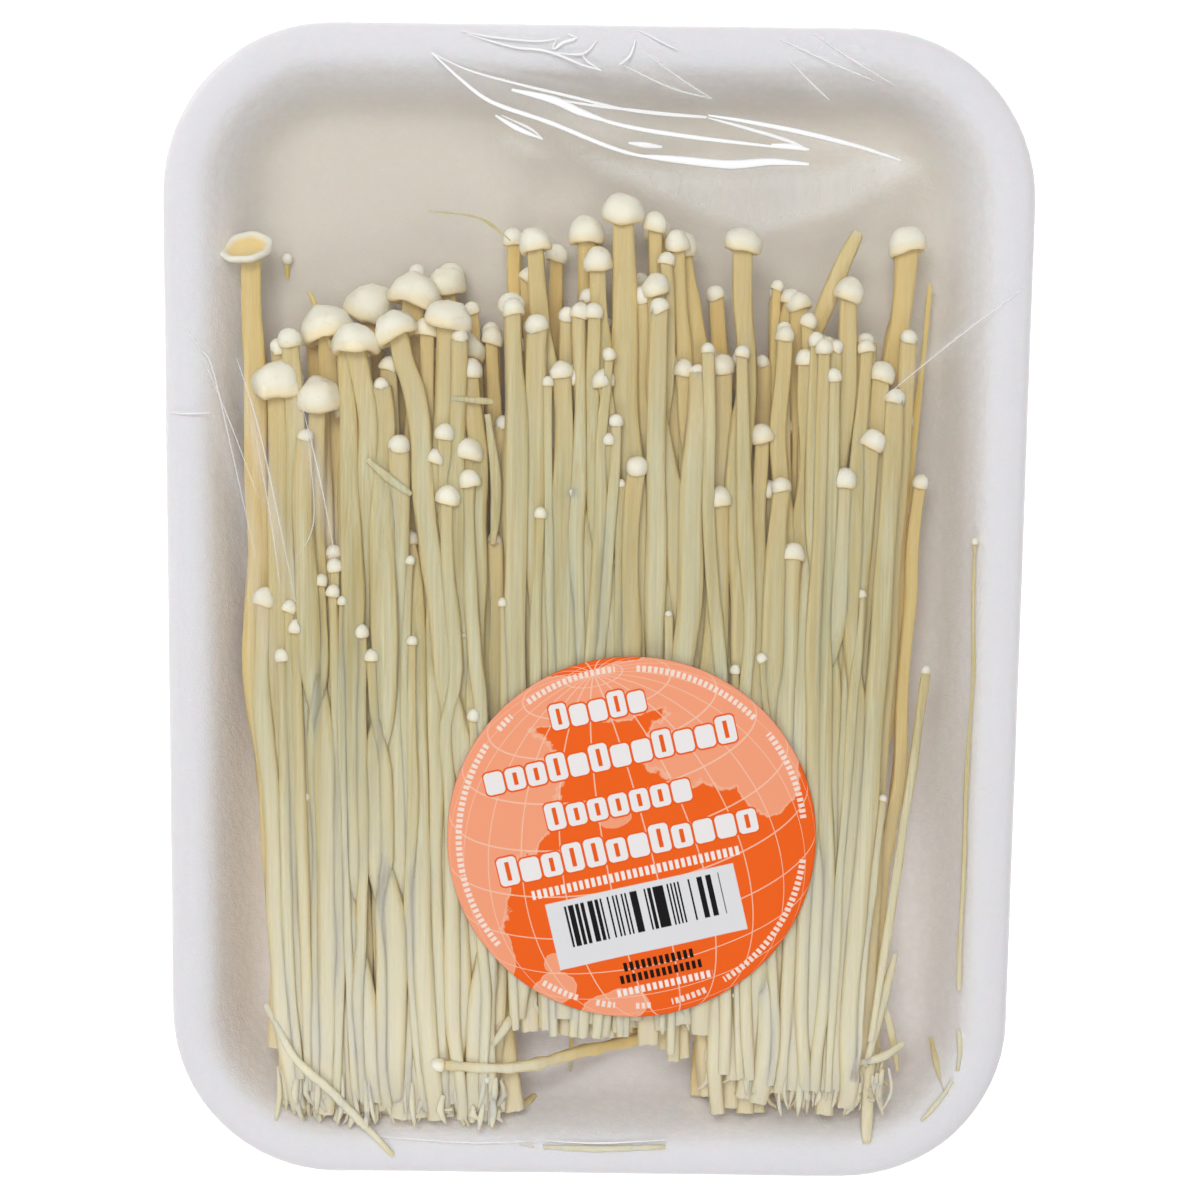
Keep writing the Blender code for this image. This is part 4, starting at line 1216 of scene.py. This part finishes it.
# The tiny unopened mushrooms on the stems: x, y and width.
BUDS = [
    (-51.5, 57.0, 1.8), (-46.0, -60.0, 1.4), (-38.5, -73.0, 1.3), (-25.0, -55.0, 1.4), (-17.0, -77.5, 1.3),
    (-33.0, -40.0, 1.2), (24.0, -62.5, 1.5), (30.5, -68.0, 1.2), (-47.0, -30.0, 1.6), (-21.5, -30.0, 1.3),
]


def tray_inside(path):
    """The height of the tray's inner face under each point of a path."""
    past_x = abs(path[:, 0]) - (TRAY_WIDTH / 2 - TRAY_CORNER)
    past_y = abs(path[:, 1]) - (TRAY_LENGTH / 2 - TRAY_CORNER)
    out = np.where((past_x > 0) & (past_y > 0), np.hypot(past_x, past_y), np.maximum(past_x, past_y))
    return np.interp(TRAY_CORNER - out, [s[0] for s in TRAY_SECTIONS], [s[1] for s in TRAY_SECTIONS])


def build_scraps(tree, mushroom_nodes, finishes):
    """Torn shreds and slivers of stem that lie about, and the fibres that hang from the cut feet."""
    lines = []
    for points, half, tan in SCRAPS:
        path = np.array(points)
        path[:, 2] = np.maximum(path[:, 2], tray_inside(path) + half * 0.6)
        path[:, 2] = np.minimum(path[:, 2], crown_height(path[:, 0], path[:, 1]) - 0.15)
        girth = half * (0.45 + 0.55 * np.sin(np.pi * np.linspace(0.08, 0.92, len(path))))
        lines.append({"points": path, "girth": girth, "tone": tan})
    for (x_low, x_high), end, count in FRAYED:
        for index in range(count):
            x = x_low + (index + draw.uniform(0, 1)) / count * (x_high - x_low)
            start = end + draw.uniform(1.0, 9.0)
            finish = end - draw.uniform(-2.5, 2.2)
            top = draw.uniform(10.0, 21.5)
            path = np.array([
                (x, start, top),
                (x + draw.normal(0, 0.3), (start + finish) / 2, top + 0.2),
                (x + draw.normal(0, 0.8), finish, top - draw.uniform(0, 1.2)),
            ])
            girth = np.array([0.5, 1.0, 0.35]) * draw.uniform(0.25, 0.7)
            lines.append({"points": path, "girth": girth, "tone": draw.uniform(0, 0.8)})
    values = {"Finish": finishes["Stem finish"], "Thickness": 0.55, "Ridge depth": 0.0005, "Step": 0.0012, "Sides": 8}
    keep(grow("loose_scraps", lines, tree, values), "flesh")
    buds = []
    for x, y, width in BUDS:
        height = 20.6 if y < 50 else 5.0
        path = np.array([(x, y - 3.0, height - 0.6), (x, y - 1.5, height), (x + 0.1, y, height + 0.3)])
        size = (width, width, width * 0.9)
        buds.append({"points": path, "girth": [0.3, 0.35, 0.35], "tone": 0.2, "axis": (0.1, 0.6, 0.8), "cap": size})
    keep(grow("loose_buds", buds, mushroom_nodes, dict(finishes, **{"Cap segments": 14})), "flesh")


def build_camera():
    """A camera high over the pack, a little towards its cap end."""
    lean, turn = math.radians(8.0), math.radians(0.7)
    target = Vector((0.9, 3.1, 20.0)) * MM
    forward = Vector((0, -math.sin(lean), -math.cos(lean)))
    up = Vector((0, math.cos(lean), -math.sin(lean)))
    right = Vector((1, 0, 0))
    up, right = up * math.cos(turn) - right * math.sin(turn), right * math.cos(turn) + up * math.sin(turn)
    place = Matrix((
        (right.x, up.x, -forward.x),
        (right.y, up.y, -forward.y),
        (right.z, up.z, -forward.z),
    )).to_4x4()
    place.translation = target - forward * 0.4
    data = bpy.data.cameras.new("camera")
    data.lens, data.sensor_width = 74.1, 36.0
    data.clip_start = 0.01
    camera = bpy.data.objects.new("camera", data)
    camera.matrix_world = place
    bpy.context.scene.collection.objects.link(camera)
    bpy.context.scene.camera = camera


def add_light(name, place, aim, size, energy, mirrored=True):
    """An area light, size (width, height) in metres, that points at aim. One that isn't mirrored casts light
    but doesn't show in glossy surfaces."""
    data = bpy.data.lights.new(name, "AREA")
    data.shape = "RECTANGLE"
    data.size, data.size_y = size
    data.energy = energy
    light = bpy.data.objects.new(name, data)
    light.location = place
    light.rotation_euler = (Vector(aim) - Vector(place)).to_track_quat("-Z", "Y").to_euler()
    light.visible_glossy = mirrored
    bpy.context.scene.collection.objects.link(light)


def build_studio():
    """A white floor, soft lights over both ends, the cap end's the stronger, and an even pale surround."""
    bpy.ops.mesh.primitive_plane_add(size=6.0, location=(0, 0, -0.0001))
    floor = bpy.context.object
    floor.name = "studio_floor"
    floor.data.materials.append(plain_material("studio_white", (0.95, 0.95, 0.95, 1), 0.9, 0.8))
    add_light("overhead", (0.02, 0.0, 0.85), (0, 0, 0), (0.3, 0.5), 1.4, mirrored=False)
    add_light("cap_end", (-0.1, 0.36, 0.78), (0, 0, 0), (0.35, 0.25), 3.05, mirrored=False)
    add_light("foot_end", (-0.1, -0.5, 0.6), (0, 0, 0), (0.4, 0.3), 1.4, mirrored=False)
    add_light("cap_side", (-0.55, 0.45, 0.35), (0, 0, 0), (0.3, 0.3), 0.5)
    world = bpy.data.worlds.new("studio")
    world.use_nodes = True
    world.node_tree.nodes["Background"].inputs["Color"].default_value = (1.0, 1.0, 1.0, 1)
    world.node_tree.nodes["Background"].inputs["Strength"].default_value = 0.25
    scene = bpy.context.scene
    scene.world = world
    scene.view_settings.view_transform = "Standard"


build_camera()
build_studio()
build_tray()
build_film(film_material())
build_label()
mushrooms, flesh = build_mushrooms()
build_foot_mushroom(mushrooms, flesh)
bands = ribbon_tree()
build_scraps(bands, mushrooms, flesh)
build_folds(bands, fold_material())

bpy.context.view_layer.update()
